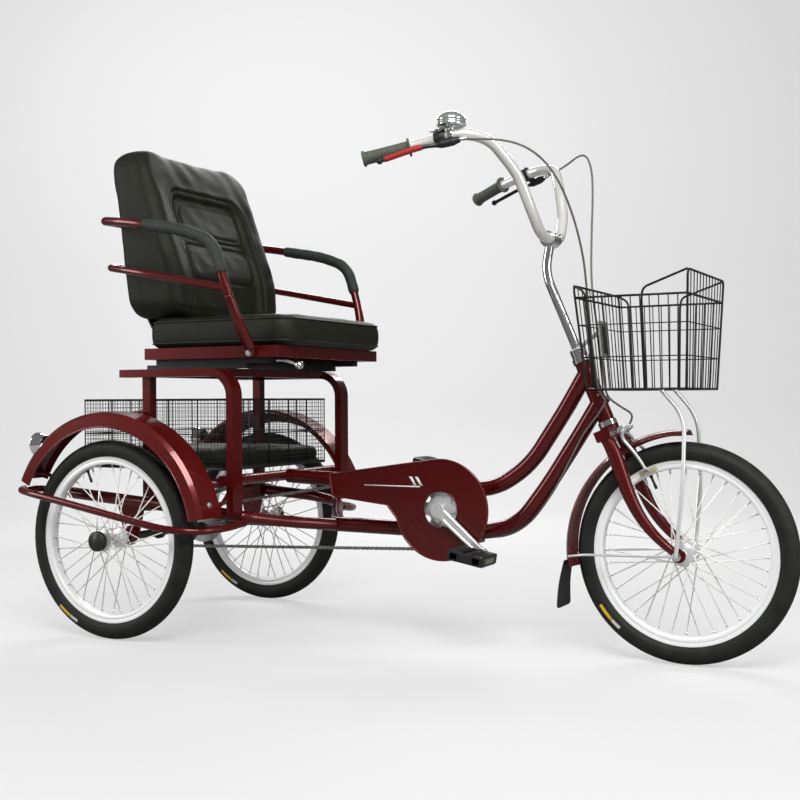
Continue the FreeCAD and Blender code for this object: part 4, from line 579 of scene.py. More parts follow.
HUB_OLIVE = material("hub_paint", (0.030, 0.032, 0.024), (0.020, 0.021, 0.016), 0.2, (0.35, 0.5), 60, 0.04)
REFLECTOR = material("reflector", (0.16, 0.12, 0.07), (0.12, 0.09, 0.05), 0.1, (0.12, 0.2), 200, 0.03, 0.5)

# %% [markdown]
# The solids of the frame are already right for tubes, plates and bars, so they stay and only get a finish.
# Their triangles are loose, so a Weld modifier joins them and the crease keeps real edges sharp. Rolled
# edges, bolts and coverings are added piece by piece in the cells below.

# %% Dress the solids
FINISHES = {
    "head_tube": RED, "headset_cups": CHROME, "top_tube": RED, "down_tube": RED, "bottom_bracket": RED,
    "rail_left": RED, "rail_right": RED, "cross_bar": RED, "stand_left": RED, "stand_right": RED,
    "seat_crosses": RED, "slides": WIRE_BLACK, "rear_basket": WIRE_BLACK, "basket_pad": HIDE,
    "mudguard_left": GUARD_RED, "mudguard_right": GUARD_RED, "mudguard_arms": RED, "side_bar_left": RED,
    "side_bar_right": RED, "tail_lamps": CHROME, "chain": ZINC, "chain_guard": RED, "runners": WIRE_BLACK,
    "seat_frame": RED, "seat_cushion": HIDE, "backrest": HIDE, "back_bars": RED, "back_brackets": WIRE_BLACK,
    "armrest_left": RED, "armrest_right": RED, "arm_sleeves": FOAM, "fork": RED, "stem": CHROME,
    "handlebar": BAR_CHROME, "grips": GRIP_RUBBER, "front_mudguard": GUARD_RED, "mud_flap": RUBBER,
    "front_stays": ALLOY, "front_basket": WIRE_BLACK, "front_axle": CHROME, "front_tyre": TYRE_RUBBER,
    "front_wheel": RIM_SILVER, "rear_tyre_left": TYRE_RUBBER, "rear_wheel_left": RIM_SILVER,
    "rear_shaft": DARK_STEEL, "rear_tyre_right": TYRE_RUBBER, "rear_wheel_right": RIM_SILVER, "cranks": ALLOY,
    "chainring": ALLOY, "pedal_left": PLASTIC, "pedal_right": PLASTIC, "sprocket": DARK_STEEL,
    "brake_levers": PLASTIC, "bell": CHROME, "front_brake": ALLOY, "brake_pads": PAD_TAN,
    "cable_front": PLASTIC, "cable_bars": PLASTIC, "cable_frame": PLASTIC, "rear_brake": ZINC,
}
for name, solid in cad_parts.items():
    finish = FINISHES[name]
    if not solid.data.materials:
        solid.data.materials.append(finish)
    for index in range(len(solid.material_slots)):
        solid.material_slots[index].link = "OBJECT"
        solid.material_slots[index].material = finish
    solid.data.polygons.foreach_set("use_smooth", np.ones(len(solid.data.polygons), bool))
    weld = solid.modifiers.new("weld", "WELD")
    weld.merge_threshold = 0.00002
    crease(solid, 32)
print("dressed", len(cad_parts), "solids")

# %% [markdown]
# Paths with bends. A bent tube is a run of straight lines joined by arcs that touch both lines. The trim is
# the length that an arc takes from each line, 0.45 of the shorter one unless another share is given.

# %% Bent paths and small hardware
def bent(rows, spacing=0.004, share=0.45):
    """Points along straight runs joined by tangent arcs."""
    rows = np.asarray(rows, float)
    pieces, start = [], rows[0]
    for before, corner, after in zip(rows, rows[1:], rows[2:]):
        back, ahead = before - corner, after - corner
        run = min(np.linalg.norm(back), np.linalg.norm(ahead))
        back, ahead = back / np.linalg.norm(back), ahead / np.linalg.norm(ahead)
        half = (math.pi - math.acos(np.clip(back @ ahead, -1, 1))) / 2
        trim = share * run
        radius = trim / math.tan(half)
        inward = (back + ahead) / np.linalg.norm(back + ahead)
        centre = corner + inward * radius / math.cos(half)
        first, last = corner + back * trim - centre, corner + ahead * trim - centre
        count = max(3, int(2 * half * radius / spacing))
        t = np.linspace(0, 1, count)[:, None]
        arc = (np.sin((1 - t) * 2 * half) * first + np.sin(t * 2 * half) * last) / math.sin(2 * half)
        gap = corner + back * trim - start
        steps = max(2, int(np.linalg.norm(gap) / spacing))
        pieces += [start + np.linspace(0, 1, steps, endpoint=False)[:, None] * gap, centre + arc[:-1]]
        start = corner + ahead * trim
    gap = rows[-1] - start
    steps = max(2, int(np.linalg.norm(gap) / spacing))
    pieces.append(start + np.linspace(0, 1, steps)[:, None] * gap)
    return np.concatenate(pieces)


def rounded_box(size, radius, cuts=5):
    """A box round the origin with rounded corners and edges: grid points pushed out from a smaller box."""
    size = np.asarray(size, float) / 2
    line = np.concatenate([-1 + (1 - np.cos(np.linspace(0, math.pi / 2, cuts))) * 0.5,
                           1 - (1 - np.cos(np.linspace(math.pi / 2, 0, cuts))) * 0.5])
    n = len(line)
    u, v = np.meshgrid(line, line, indexing="ij")
    shells = []
    for axis in range(3):
        for side in (-1.0, 1.0):
            p = np.zeros((n * n, 3))
            p[:, axis] = side
            p[:, (axis + 1) % 3] = u.ravel() * side
            p[:, (axis + 2) % 3] = v.ravel()
            p = p * size
            core = np.clip(p, -(size - radius), size - radius)
            away = p - core
            length = np.linalg.norm(away, axis=1, keepdims=True)
            shells.append((core + away / np.maximum(length, 1e-9) * radius, grid_faces(n, n, False, False)))
    return join(*shells)


def hex_bolt(centre, axis, across=0.010, height=0.005, washer=0.0075):
    """A hexagon head on a washer: both are lathed round y and then swung to the axis."""
    turn = np.linspace(0, 2 * math.pi, 6, endpoint=False)
    r = across / 2 / math.cos(math.pi / 6)
    rows = []
    for radius, y in ((0.0, height), (r * 0.86, height), (r, height * 0.86), (r, 0.0012), (0.0, 0.0012)):
        rows.append(np.stack([radius * np.cos(turn), np.full(6, y), radius * np.sin(turn)], 1))
    head = (np.concatenate(rows), grid_faces(5, 6, False, True))
    ring = lathe([(0.0, 0.0), (washer, 0.0), (washer, 0.0010), (washer * 0.94, 0.0013), (0.0, 0.0013)],
                 (0, 0, 0), 24, closed=False)
    return moved(turned(join(head, ring), axis), centre)


def from_axle(centre, radius, degrees, y=0.0):
    """Points at a radius and angles about an axle, at a given y."""
    angle = np.radians(np.asarray(degrees, float))
    return np.stack([centre[0] + radius * np.cos(angle), np.broadcast_to(y, angle.shape) + 0 * angle,
                     centre[2] + radius * np.sin(angle)], -1)


# %% [markdown]
# The wheels. A tyre is one closed section turned round the axle on a fine grid, and the tread is pressed into
# it: every point has a place round the wheel and a place across the tread, and grooves are cut where a
# pattern in those two numbers says so. The depth fades out at the shoulders.

# %% Tyres
FRONT = place(1361.5, 0, 250)
REAR = {"left": place(0, 346, 250), "right": place(0, -346, 250)}
TYRE_HALF, TYRE_MIDDLE, RIM_EDGE = 0.0235, 0.2265, 0.209
FOOT = math.asin((TYRE_MIDDLE - RIM_EDGE - 0.0003) / TYRE_HALF)


def notch(value, width):
    """1 in the middle of a groove and 0 outside it, with sloping sides."""
    return np.clip(1.6 - 1.6 * np.abs(value) / width, 0, 1)


def tyre_shell(centre):
    steps, stations = 720, 58
    turn = np.linspace(0, 2 * math.pi, steps, endpoint=False)[None, :]
    section = np.linspace(-FOOT, math.pi + FOOT, stations)[:, None]
    across = (section - math.pi / 2) * TYRE_HALF * 1000
    along = turn * 250
    middle = notch(np.abs(across) - 3.4, 1.1)
    zigzag = notch((along / 10.47 + np.abs(across) * 0.055) % 1.0 - 0.5, 0.16) * (np.abs(across) > 4.5)
    shoulder = notch((along / 10.47 + 0.5) % 1.0 - 0.5, 0.14) * (np.abs(across) > 15)
    outer_rib = notch(np.abs(across) - 14.5, 1.0)
    fade = np.clip((24 - np.abs(across)) / 4, 0, 1)
    depth = 0.0013 * np.maximum.reduce([middle + 0 * along, zigzag, shoulder, outer_rib + 0 * along]) * fade
    rings = 0.0005 * (np.exp(-((np.abs(across) - 33) / 0.9) ** 2)
                      + np.exp(-((np.abs(across) - 45) / 1.3) ** 2))
    half = TYRE_HALF - depth + rings
    radius = TYRE_MIDDLE + half * np.sin(section)
    side = half * np.cos(section) + 0 * turn
    radius = np.minimum(radius, 0.25)
    bead_r = np.array([RIM_EDGE, 0.2035, 0.2035, RIM_EDGE])[:, None] + 0 * turn
    bead_y = np.array([-0.0110, -0.0108, 0.0108, 0.0110])[:, None] + 0 * turn
    radius, side = np.concatenate([radius, bead_r]), np.concatenate([side, bead_y])
    points = np.stack([radius * np.cos(turn), side, radius * np.sin(turn)], -1) + centre
    return points.reshape(-1, 3), grid_faces(stations + 4, steps, True, True)


def sidewall_band(centre, side, start, end):
    """A thin printed band on a sidewall: a patch that follows the rubber a hair above it."""
    turn = np.radians(np.linspace(start, end, 24))[None, :]
    section = (0.12 + np.linspace(-0.16, 0.16, 5))[:, None]
    half = TYRE_HALF + 0.0006
    radius = TYRE_MIDDLE + half * np.sin(section) + 0 * turn
    across = side * half * np.cos(section) + 0 * turn
    points = np.stack([radius * np.cos(turn), across, radius * np.sin(turn)], -1) + centre
    faces = grid_faces(5, 24, False, False)
    return points.reshape(-1, 3), faces if side < 0 else faces[:, ::-1]


# Each body carries a tyre: its axle's middle, the tyre's node, the hub's flanges and ends, the axle's bore in
# millimetres and the angle at which the printed bands begin.
WHEELS = {"front_wheel": (FRONT, "front_tyre", 0.027, 0.036, 5.1, 213.5),
          "rear_wheel_left": (REAR["left"], "rear_tyre_left", 0.030, 0.038, 10.1, 229),
          "rear_wheel_right": (REAR["right"], "rear_tyre_right", 0.030, 0.038, 10.1, 229)}
BANDS = (("_band_yellow", 0, 10, LABEL_YELLOW), ("_band_pale", 10.5, 17, LABEL_PALE))
for body, (centre, tyre_node, _, _, _, start) in WHEELS.items():
    build(tyre_node + "_tread", tyre_shell(centre), body, TYRE_RUBBER, [tyre_node])
    for side, mark in ((-1, "_r"), (1, "_l")):
        for name, first, last, finish in BANDS:
            band = sidewall_band(centre, side, start + first, start + last)
            build(body + name + mark, band, body, finish)

# %% [markdown]
# Rims, spokes and hubs. The rim is a lathe with a flat, bright band on each side and a well between. Each
# spoke leaves its flange on one side, crosses its neighbours and ends in a nipple in the middle of the rim.

# %% Rims, spokes and hubs
RIM_SECTION = [(209, 14.0), (208.4, 14.0), (200.4, 14.0), (200, 13.7), (199.6, 14.0), (192, 13.9),
               (190.2, 12.6),
               (189.4, 9.5), (189.0, 5.0), (189.0, -5.0), (189.4, -9.5), (190.2, -12.6), (192, -13.9),
               (199.6, -14.0), (200, -13.7), (200.4, -14.0), (208.4, -14.0), (209, -14.0), (208.8, -11.6),
               (203.2, -11.4), (203.2, 11.4), (208.8, 11.6)]


VALVE_ROOT, VALVE_TURN = 0.190, 2.0
SPOKES, SPOKE_FOOT, SPOKE_TIP = 36, 0.024, 0.1905


def spoke_shells(centre, flange_y):
    """36 crossed spokes and their nipples."""
    wires, nipples = [], []
    for i in range(SPOKES):
        side = 1 if i % 2 else -1
        lean = 62.0 if (i // 2) % 2 else -62.0
        end = math.radians(360 / SPOKES * i)
        start = end + math.radians(lean)
        outward = 0.0012 if lean > 0 else -0.0012
        foot = from_axle(centre, SPOKE_FOOT, math.degrees(start), centre[1] + side * (flange_y + outward))
        tip = from_axle(centre, SPOKE_TIP, math.degrees(end), centre[1] + side * 0.002)
        way = (tip - foot) / np.linalg.norm(tip - foot)
        elbow = foot + np.array([0, -side * np.sign(outward) * 0.003, 0])
        wires.append(tube(np.array([elbow, foot + way * 0.0015, tip]), 0.00145, 8))
        nipple = np.array([tip - way * 0.012, tip - way * 0.0115, tip])
        nipples.append(tube(nipple, [0.0015, 0.0021, 0.0023], 8))
    return join(*wires), join(*nipples)


def hub_shell(centre, flange_y, half, bore):
    """Half a hub as rows of radius and distance from the middle, mirrored and turned round the axle."""
    side = [(bore, half), (9.5, half), (10.5, half - 1), (11.5, flange_y + 5), (26, flange_y + 1.8),
            (27, flange_y + 1.2), (27, flange_y - 1.2), (26, flange_y - 1.8), (14, flange_y - 4),
            (12, flange_y - 9)]
    profile = side + [(r, -y) for r, y in reversed(side)]
    return lathe(np.array(profile) / 1000, centre, 64)


for body, (centre, _, flange_y, hub_half, bore, _) in WHEELS.items():
    build(body + "_rim", lathe(np.array(RIM_SECTION) / 1000, centre, 220), body, RIM_SILVER, [body])
    wires, nipples = spoke_shells(centre, flange_y)
    build(body + "_spokes", wires, body, SPOKE)
    build(body + "_nipples", nipples, body, CHROME)
    hub = hub_shell(centre, flange_y * 1000, hub_half * 1000, bore)
    crease(build(body + "_hub", hub, body, ALLOY), 40)
    root = centre + VALVE_ROOT * np.array([math.cos(VALVE_TURN), 0, math.sin(VALVE_TURN)])
    inward = (centre - root) / VALVE_ROOT
    stem = root + inward * np.array([-0.004, 0.006, 0.007, 0.022, 0.023, 0.034])[:, None]
    build(body + "_valve", tube(stem, [0.0042, 0.0042, 0.003, 0.003, 0.0036, 0.0034], 14), body, RUBBER)

# %% [markdown]
# The chair. The cushion and the backrest are closed surfaces whose sections are rounded rectangles. Foam
# under hide swells between its seams, so each surface is swollen by a pillow function, pulled in along the
# seams and lined with small puckers that run across them.

# %% Upholstery
def step(value, low, high):
    """0 below low, 1 above high and a smooth rise between."""
    t = np.clip((value - low) / (high - low), 0, 1)
    return t * t * (3 - 2 * t)


def ripple(a, b, seed):
    """Soft unevenness from a few crossed waves, between about -1 and 1."""
    total = 0
    for i in range(5):
        k = seed + i * 1.7
        total = total + np.sin(a * (31 + 13 * math.sin(k)) + b * (27 + 17 * math.cos(k * 1.3)) + k * 5)
    return total / 5


def frame_distance(u, v, half_u, half_v, corner):
    """Distance from a point to the line of a rectangle with round corners, inside below zero."""
    a, b = np.abs(u) - (half_u - corner), np.abs(v) - (half_v - corner)
    outside = np.hypot(np.maximum(a, 0), np.maximum(b, 0)) + np.minimum(np.maximum(a, b), 0)
    return outside - corner


def seam(distance, depth, width):
    """A pulled-in line with a soft roll on both sides."""
    roll = np.exp(-((np.abs(distance) - 2.4 * width) / (1.6 * width)) ** 2)
    return -depth * np.exp(-(distance / width) ** 2) + depth * 0.25 * roll


BACK_ROWS = np.array([(812, 20, 60, 178), (812.5, -10, 92, 187), (816, -30, 108, 201), (826, -40, 116, 218),
                      (840, -43, 119, 231),
                      (856, -46, 121, 238), (931, -56, 114, 241), (1020, -67, 84, 241), (1104, -78, 52, 241),
                      (1160, -90, 34, 240), (1205, -99, 20, 238), (1230, -99, 8, 231), (1246, -90, -4, 219),
                      (1255, -76, -16, 202), (1259.5, -58, -32, 176), (1260, -48, -42, 150)], float)


def rounded_loops(half_x, half_y, radius, counts=(110, 16, 26)):
    """Rounded rectangles, one per row, walked from the near end of the front: front, corner, side, corner,
    rear and so on. counts gives the points on a front, a corner and a side, the same in every row, so that
    the rows make a grid."""
    front, bend, side = counts
    flat, deep = np.linspace(-1, 1, front, endpoint=False), np.linspace(1, -1, side, endpoint=False)
    turn = np.linspace(0, math.pi / 2, bend, endpoint=False)
    in_x, in_y = half_x - radius, half_y - radius
    rows = [(in_x + radius + 0 * flat, in_y * flat)]
    rows.append((in_x + radius * np.cos(turn), in_y + radius * np.sin(turn)))
    rows.append((in_x * deep, in_y + radius + 0 * deep))
    rows.append((-in_x - radius * np.sin(turn), in_y + radius * np.cos(turn)))
    x, y = [np.concatenate([np.broadcast_to(p[k], (len(half_x), p[k].shape[1])) for p in rows], 1)
            for k in (0, 1)]
    return np.concatenate([x, -x], 1), np.concatenate([y, -y], 1)


def backrest_shell():
    """Rows up the back, each a rounded rectangle between rear and front face, then pressed and swollen."""
    rows = 230
    share = np.linspace(0, 1, rows)
    line = smooth_path(BACK_ROWS[:, :3] / 1000, 900)
    wide = np.interp(line[:, 0] * 1000, BACK_ROWS[:, 0], BACK_ROWS[:, 3]) / 1000
    length = np.linspace(0, 1, 900)
    z, rear, front = [np.interp(share, length, line[:, k])[:, None] * 1000 for k in range(3)]
    half_y = np.interp(share, length, wide) * 1000
    half_y = np.convolve(np.pad(half_y, 4, mode="edge"), np.full(9, 1 / 9), mode="valid")[:, None]
    half_x = (front - rear) / 2
    across_x, y = rounded_loops(half_x, half_y, np.minimum(30, half_x * 0.97))
    x = (front + rear) / 2 + across_x
    ahead = step(across_x / half_x, -0.2, 0.5)
    bolster = np.abs(y)
    field = frame_distance(y, z - 965, 168, 196, 54)
    x = x - 15 * step(-field, -6, 30) * ahead * step(z - 806, 0, 14)
    crest = np.exp(-((bolster - 205) / 22) ** 2) * step(1190 - z, 0, 60)
    x = x + 5 * crest * ahead
    upper = frame_distance(y, z - 1086, 146, 56, 36)
    inset = frame_distance(y, z - 1083, 128, 40, 28)
    lower = frame_distance(y, z - 966, 146, 48, 30)
    x = x + ahead * (4.0 * step(-upper, -2, 22) + 2.0 * step(-inset, -2, 14) + 5.0 * step(-lower, -2, 22))
    for distance, depth, width in ((field, 4.2, 4.5), (upper, 2.6, 3.4), (inset, 1.6, 3.0),
                                   (lower, 2.6, 3.4)):
        x = x + ahead * seam(distance, depth, width)
    pucker = 0.5 * np.sin((z + bolster) * 0.34) * np.exp(-((field + 9) / 7) ** 2)
    x = x + ahead * (pucker + 1.4 * ripple(y / 420, z / 420, 3)) + (1 - ahead) * ripple(y / 420, z / 420, 4)
    y = y + 1.2 * (1 - ahead) * ripple(x / 300, z / 500, 6)
    z = z + step(z - 1215, 0, 40) * (6 * np.exp(-((bolster - 165) / 45) ** 2) - 2)
    loop = x.shape[1]
    points = np.stack([x, y, z + 0 * y], -1).reshape(-1, 3) / 1000 + np.array([REAR_X, 0, 0])
    caps = np.array([points[:loop].mean(0), points[-loop:].mean(0)])
    count = rows * loop
    ring = np.arange(loop)
    none = np.full(loop, -1)
    last = count - loop
    low = np.stack([np.roll(ring, -1), ring, np.full(loop, count), none], 1)
    high = np.stack([last + ring, last + np.roll(ring, -1), np.full(loop, count + 1), none], 1)
    return np.concatenate([points, caps]), np.concatenate([grid_faces(rows, loop, False, True), low, high])


def pad_shell(low, high, corner, crown, edge=0.09, seed=5, across=170, along=170, piped=0.0):
    """A cushion seen as a map: a rounded rectangle whose top and bottom meet in a full round edge. crown is
    how far the middle of the top swells, and piped pulls in a seam round the top at that distance."""
    low, high = np.asarray(low, float) * 1000, np.asarray(high, float) * 1000
    centre, half = (low + high) / 2, (high - low) / 2
    u = np.linspace(-1, 1, along)[:, None] + np.zeros((1, across))
    v = np.linspace(-1, 1, across)[None, :] + np.zeros((along, 1))
    u, v = np.sin(u * math.pi / 2), np.sin(v * math.pi / 2)
    pull = np.maximum(np.maximum(np.abs(u), np.abs(v)), 1e-9)
    edge_x, edge_y = half[0] * u / pull, half[1] * v / pull
    over_x, over_y = np.abs(edge_x) - (half[0] - corner), np.abs(edge_y) - (half[1] - corner)
    reach = np.maximum(np.hypot(over_x, over_y), 1e-9)
    bend = (over_x > 0) & (over_y > 0)
    x = np.where(bend, np.sign(u) * (half[0] - corner + over_x * corner / reach), edge_x) * pull
    y = np.where(bend, np.sign(v) * (half[1] - corner + over_y * corner / reach), edge_y) * pull
    lip = 1 - pull
    round_edge = np.clip(1 - (1 - np.clip(lip / edge, 0, 1)) ** 2.6, 0, 1) ** 0.42
    swell = (1 - u ** 2) * (1 - v ** 2)
    top = half[2] * (1 - crown) * round_edge + 2 * half[2] * crown * swell ** 0.6
    distance = frame_distance(x, y, half[0] - piped, half[1] - piped, corner)
    if piped:
        top = top + seam(distance, 3.0, 3.0)
    top = top + round_edge * (1.2 * ripple(x / 420, y / 420, seed))
    bottom = -half[2] * round_edge ** 0.8
    shells = []
    for height, flip in ((top, False), (bottom, True)):
        points = np.stack([x, y, height], -1).reshape(-1, 3) + centre
        faces = grid_faces(along, across, False, False)
        shells.append((points / 1000 + np.array([REAR_X, 0, 0]), faces if flip else faces[:, ::-1]))
    return join(*shells)


back = build("backrest_hide", backrest_shell(), "seat", HIDE, ["backrest"])
cushion = build("cushion_hide", pad_shell((0.024, -0.244, 0.7330), (0.464, 0.244, 0.811), 46, 0.10, piped=24),
                "seat", HIDE, ["seat_cushion"])


def piping_shell(low, high, corner, z, radius=0.0022):
    """A cord of hide that runs round a cushion at one height, along a rounded rectangle."""
    middle, half = (np.array(low) + high) / 2, (np.array(high) - low) / 2
    x, y = rounded_loops(np.array([[half[0]]]), np.array([[half[1]]]), np.array([[corner]]), (60, 14, 50))
    ring = np.stack([middle[0] + x[0] + REAR_X, middle[1] + y[0], np.full(x.shape[1], z)], 1)
    return tube(ring, radius, 10, closed=True)


low_cord = piping_shell((0.0262, -0.2418), (0.4618, 0.2418), 0.045, 0.7445)
high_cord = piping_shell((0.0275, -0.2405), (0.4605, 0.2405), 0.044, 0.7990)
build("cushion_piping", join(low_cord, high_cord), "seat", PIPING)
pad_points = pad_shell((-0.185, -0.226, 0.4272), (0.270, 0.226, 0.4732), 40, 0.16, seed=9, piped=20,
                       across=90, along=90)
pad = build("basket_pad_hide", pad_points, "frame", HIDE, ["basket_pad"])


# %% [markdown]
# The foam sleeves are thick tubes drawn over the armrests' own bends. The path is the armrest's path, cut to
# the stretch that the foam covers. Small swellings keep it from looking like machined stock.

# %% Foam sleeves
ARM_UPPER = places([(-60, 225, 1065), (-60, 255, 1065), (-62, 302, 1061), (40, 322, 1048), (218, 322, 1015),
                    (300, 322, 982), (325, 322, 905), (350, 312, 820), (368, 262, 727)])
FLIP = np.array([1, -1, 1])


def sleeve_shell():
    """A thick tube along the armrest's bends, with small swellings and rounded ends."""
    path = bent(ARM_UPPER, 0.003)
    path = path[(path[:, 0] > REAR_X + 0.089) & (path[:, 2] > 0.905)]
    share = np.linspace(0, 1, len(path))
    radius = 0.0155 - 0.0007 * np.sin(share * 23) ** 2
    for to_end in (share, 1 - share):
        radius = radius - 0.0022 * np.exp(-to_end * len(path) / 1.6)
    return tube(path, radius, 36)


sleeve = sleeve_shell()
build("sleeve_foam", join(sleeve, mirrored(sleeve)), "seat", FOAM, ["arm_sleeves"])

# %% [markdown]
# The handlebar's controls. A grip is a lathe with shallow rings, swung to the bar's direction. A lever is a
# tube whose radius changes along a soft curve, with a ball at its end and a coloured sleeve on the near one.

# %% Grips, levers and bell
BAR_END, BAR_BEND = place(717, 316, 1142), place(820, 266, 1170)
GRIP_WAY = (BAR_END - BAR_BEND) / np.linalg.norm(BAR_END - BAR_BEND)


def grip_shell():
    """Length runs along y from the inner flange, in millimetres, before it is swung onto the bar."""
    along = np.linspace(5.5, 104, 198)
    rings = 0.55 * (np.cos(along * 2 * math.pi / 6.2) > 0.1)
    radius = 15.2 - rings - 0.5 * np.sin((along - 5) / 100 * math.pi)
    profile = [(0.01, 0.4), (12.7, 0.4), (12.8, 0.0), (20.2, 0.0), (21.0, 0.8), (21.0, 4.0), (20.0, 5.0),
               (15.6, 5.4)]
    profile += list(zip(radius, along))
    profile += [(15.4, 104.4), (17.6, 105.0), (18.2, 106.2), (18.2, 109.0), (17.0, 110.8), (13.0, 111.9)]
    profile += [(0.01, 112.0)]
    shell = lathe(np.array(profile) / 1000, (0, 0, 0), 40, closed=False)
    return moved(turned(shell, GRIP_WAY), BAR_END - GRIP_WAY * 0.108)


grip = grip_shell()
build("grip_covers", join(grip, mirrored(grip)), "steering", GRIP_RUBBER, ["grips"])

PERCH, PERCH_WAY = place(880, 254.6, 1183.1), np.array([-105.0, 20.0, -23.0])
PERCH_WAY = PERCH_WAY / np.linalg.norm(PERCH_WAY)
LEVER_LINE = places([(931, 262, 1174), (890, 278, 1164), (844, 300, 1156), (762, 325, 1131)])


def around(point, way, profile, steps=36, closed=False):
    """A lathe in millimetres, swung to a direction and set down at a point."""
    return moved(turned(lathe(np.array(profile, float) / 1000, (0, 0, 0), steps, closed), way), point)


def lever_shells():
    """The clamp and housing, the blade of the lever, and the length along the blade of its sleeve."""
    band = [(12.9, -13), (16.6, -13), (17.5, -12), (17.5, 12), (16.6, 13), (12.9, 13)]
    ring = around(PERCH, PERCH_WAY, band, closed=True)
    path = smooth_path(LEVER_LINE, 70)
    way = tangents(path)
    share = np.linspace(0, 1, len(path))
    radius = 0.0048 + 0.0026 * np.exp(-((share - 0.18) / 0.10) ** 2)
    blade = tube(path[12:], radius[12:], 16)
    thickness = np.interp(np.linspace(0, 1, 26), [0, 0.15, 0.3, 0.8, 1],
                          [0.0062, 0.0078, 0.0098, 0.0088, 0.0055])
    housing = tube(smooth_path(path[[0, 3, 4, 9, 15, 20]], 26), thickness, 20)
    bridge = tube(np.array([PERCH, PERCH + (path[12] - PERCH) * 0.6, path[14]]), [0.0095, 0.0085, 0.0070], 18)
    screw = hex_bolt(PERCH + np.array([0.0, 0.0, 0.0165]), (0, 0, 1), 0.007, 0.004, 0.005)
    thread = [(4.7 if i % 2 else 4.1, 3.2 + i * 0.8) for i in range(8)]
    profile = [(0.01, -4), (4.6, -4), (4.6, 3)] + thread + [(3.2, 9.8), (3.2, 13), (0.01, 13)]
    barrel = around(path[0] - way[0] * 0.002, -way[0], profile, 20)
    return join(ring, housing, bridge), blade, screw, barrel, path


housing, blade, screw, barrel, LEVER_PATH = lever_shells()
build("lever_housings", join(housing, mirrored(housing)), "steering", PLASTIC,
      ["brake_levers"])
screws = join(screw, mirrored(screw), barrel, mirrored(barrel))
crease(build("lever_screws", screws, "steering", CHROME), 40)
build("lever_blade_left", blade, "steering", DARK_STEEL)
build("lever_blade_right", mirrored(blade), "steering", DARK_STEEL)
sleeve_path = LEVER_PATH[32:66] * FLIP
share = np.linspace(0, 1, len(sleeve_path))
ribbed = 0.0070 - 0.0006 * (np.sin(share * 60) > 0.55) - 0.0012 * (share > 0.97)
build("lever_sleeve", tube(sleeve_path, ribbed, 20), "steering", RED_RUBBER)
turn = np.linspace(-math.pi / 2, math.pi / 2, 15)
ball = np.stack([7.3 * np.cos(turn) + 0.01, 7.3 * np.sin(turn)], 1)
tips = [around(LEVER_PATH[-1] * side, (0, 1, 0), ball, 28) for side in (np.ones(3), FLIP)]
build("lever_tips", join(*tips), "steering", PLASTIC)

BELL = place(904, -250, 1188.8)
DOME = [(0.01, 20), (31.4, 20), (33, 21), (33, 25), (32.4, 26.4), (33, 27.4), (33, 29), (31.8, 30.6)]
DOME += [(33 * math.cos(a), 31.5 + 21.5 * math.sin(a)) for a in np.linspace(0.08, math.pi / 2 - 0.22, 16)]
DOME += [(6.6, 52.6), (6.4, 53.4), (3.2, 53.6), (3.0, 52.9), (0.01, 53.2)]
crease(build("bell_dome", around(BELL, (0, 0, 1), DOME, 72), "steering", BELL_SILVER, ["bell"]), 50)
bell_way = PERCH_WAY * FLIP
clip = around(BELL, bell_way, [(12.9, -6), (15.6, -6), (16, -5.4), (16, 5.4), (15.6, 6), (12.9, 6)],
              closed=True)
stalk = around(BELL, (0, 0, 1), [(7.5, 13), (7.5, 17), (12, 18.4), (12, 20.2), (0.01, 20.2)], 24)
thumb_rows = [[-0.004, 0.004, 0.019], [-0.022, -0.002, 0.016], [-0.036, -0.010, 0.012],
              [-0.046, -0.016, 0.0105]]
thickness = np.interp(np.linspace(0, 1, 24), [0, 0.6, 0.85, 1], [0.0022, 0.0024, 0.0048, 0.0036])
thumb = tube(smooth_path(BELL + np.array(thumb_rows), 24), thickness, 14)
build("bell_clip", join(clip, stalk, thumb), "steering", CHROME)

# %% [markdown]
# Cables. A cable's line is one smooth curve through air, stiff and springy, so its points are the control
# points of a NURBS curve of order three. Blender evaluates the curve, and a round section is carried along
# the points that it gives. The rear cable crosses from what steers to what doesn't, so it rides on no body and
# stays where it is built.

# %% Cables
def curve_line(name, rows, resolution=10):
    """The points of the NURBS curve that a few control points steer."""
    data = bpy.data.curves.new(name, "CURVE")
    data.dimensions = "3D"
    data.resolution_u = resolution
    spline = data.splines.new("NURBS")
    spline.points.add(len(rows) - 1)
    spline.points.foreach_set("co", np.hstack([rows, np.ones((len(rows), 1))]).astype(np.float32).ravel())
    spline.order_u = 3
    spline.use_endpoint_u = True
    holder = bpy.data.objects.new(name, data)
    mesh = bpy.data.meshes.new_from_object(holder)
    line = np.empty(len(mesh.vertices) * 3, np.float32)
    mesh.vertices.foreach_get("co", line)
    bpy.data.objects.remove(holder)
    bpy.data.curves.remove(data)
    bpy.data.meshes.remove(mesh)
    return line.reshape(-1, 3).astype(float)


FRONT_CABLE = places([(931.3, 261.9, 1174.1), (984, 252, 1190), (1050, 226, 1224), (1082, 195, 1176),
                      (1096, 160, 1095),
                      (1110, 105, 985), (1128, 48, 870), (1144, 36, 780), (1158, 34, 690), (1166, 30, 628),
                      (1173, 28, 600), (1208, 24, 577), (1236, 20, 562), (1232, 18, 543), (1222, 17, 524)])
REAR_CABLE = places([(931.3, -261.9, 1174.1), (1008, -245, 1173), (1076, -220, 1152), (1119, -180, 1104),
                     (1143, -130, 1022), (1154, -85, 927), (1149, -46, 852), (1154, -32, 742),
                     (1162, -30, 677),
                     (1168, -25, 620), (1180.2, -19.9, 597.6), (1184, -18.4, 590.8), (1172, -26, 566),
                     (1152, -27, 541), (1134, -26, 518), (1110, -22, 478), (1054, -8, 378.5), (968, 8, 277),
                     (862, 12, 253.8), (440, 12, 257.8), (300, 20, 261), (140, 34, 259), (60.3, 38, 257)])
CABLE_R = 0.0025
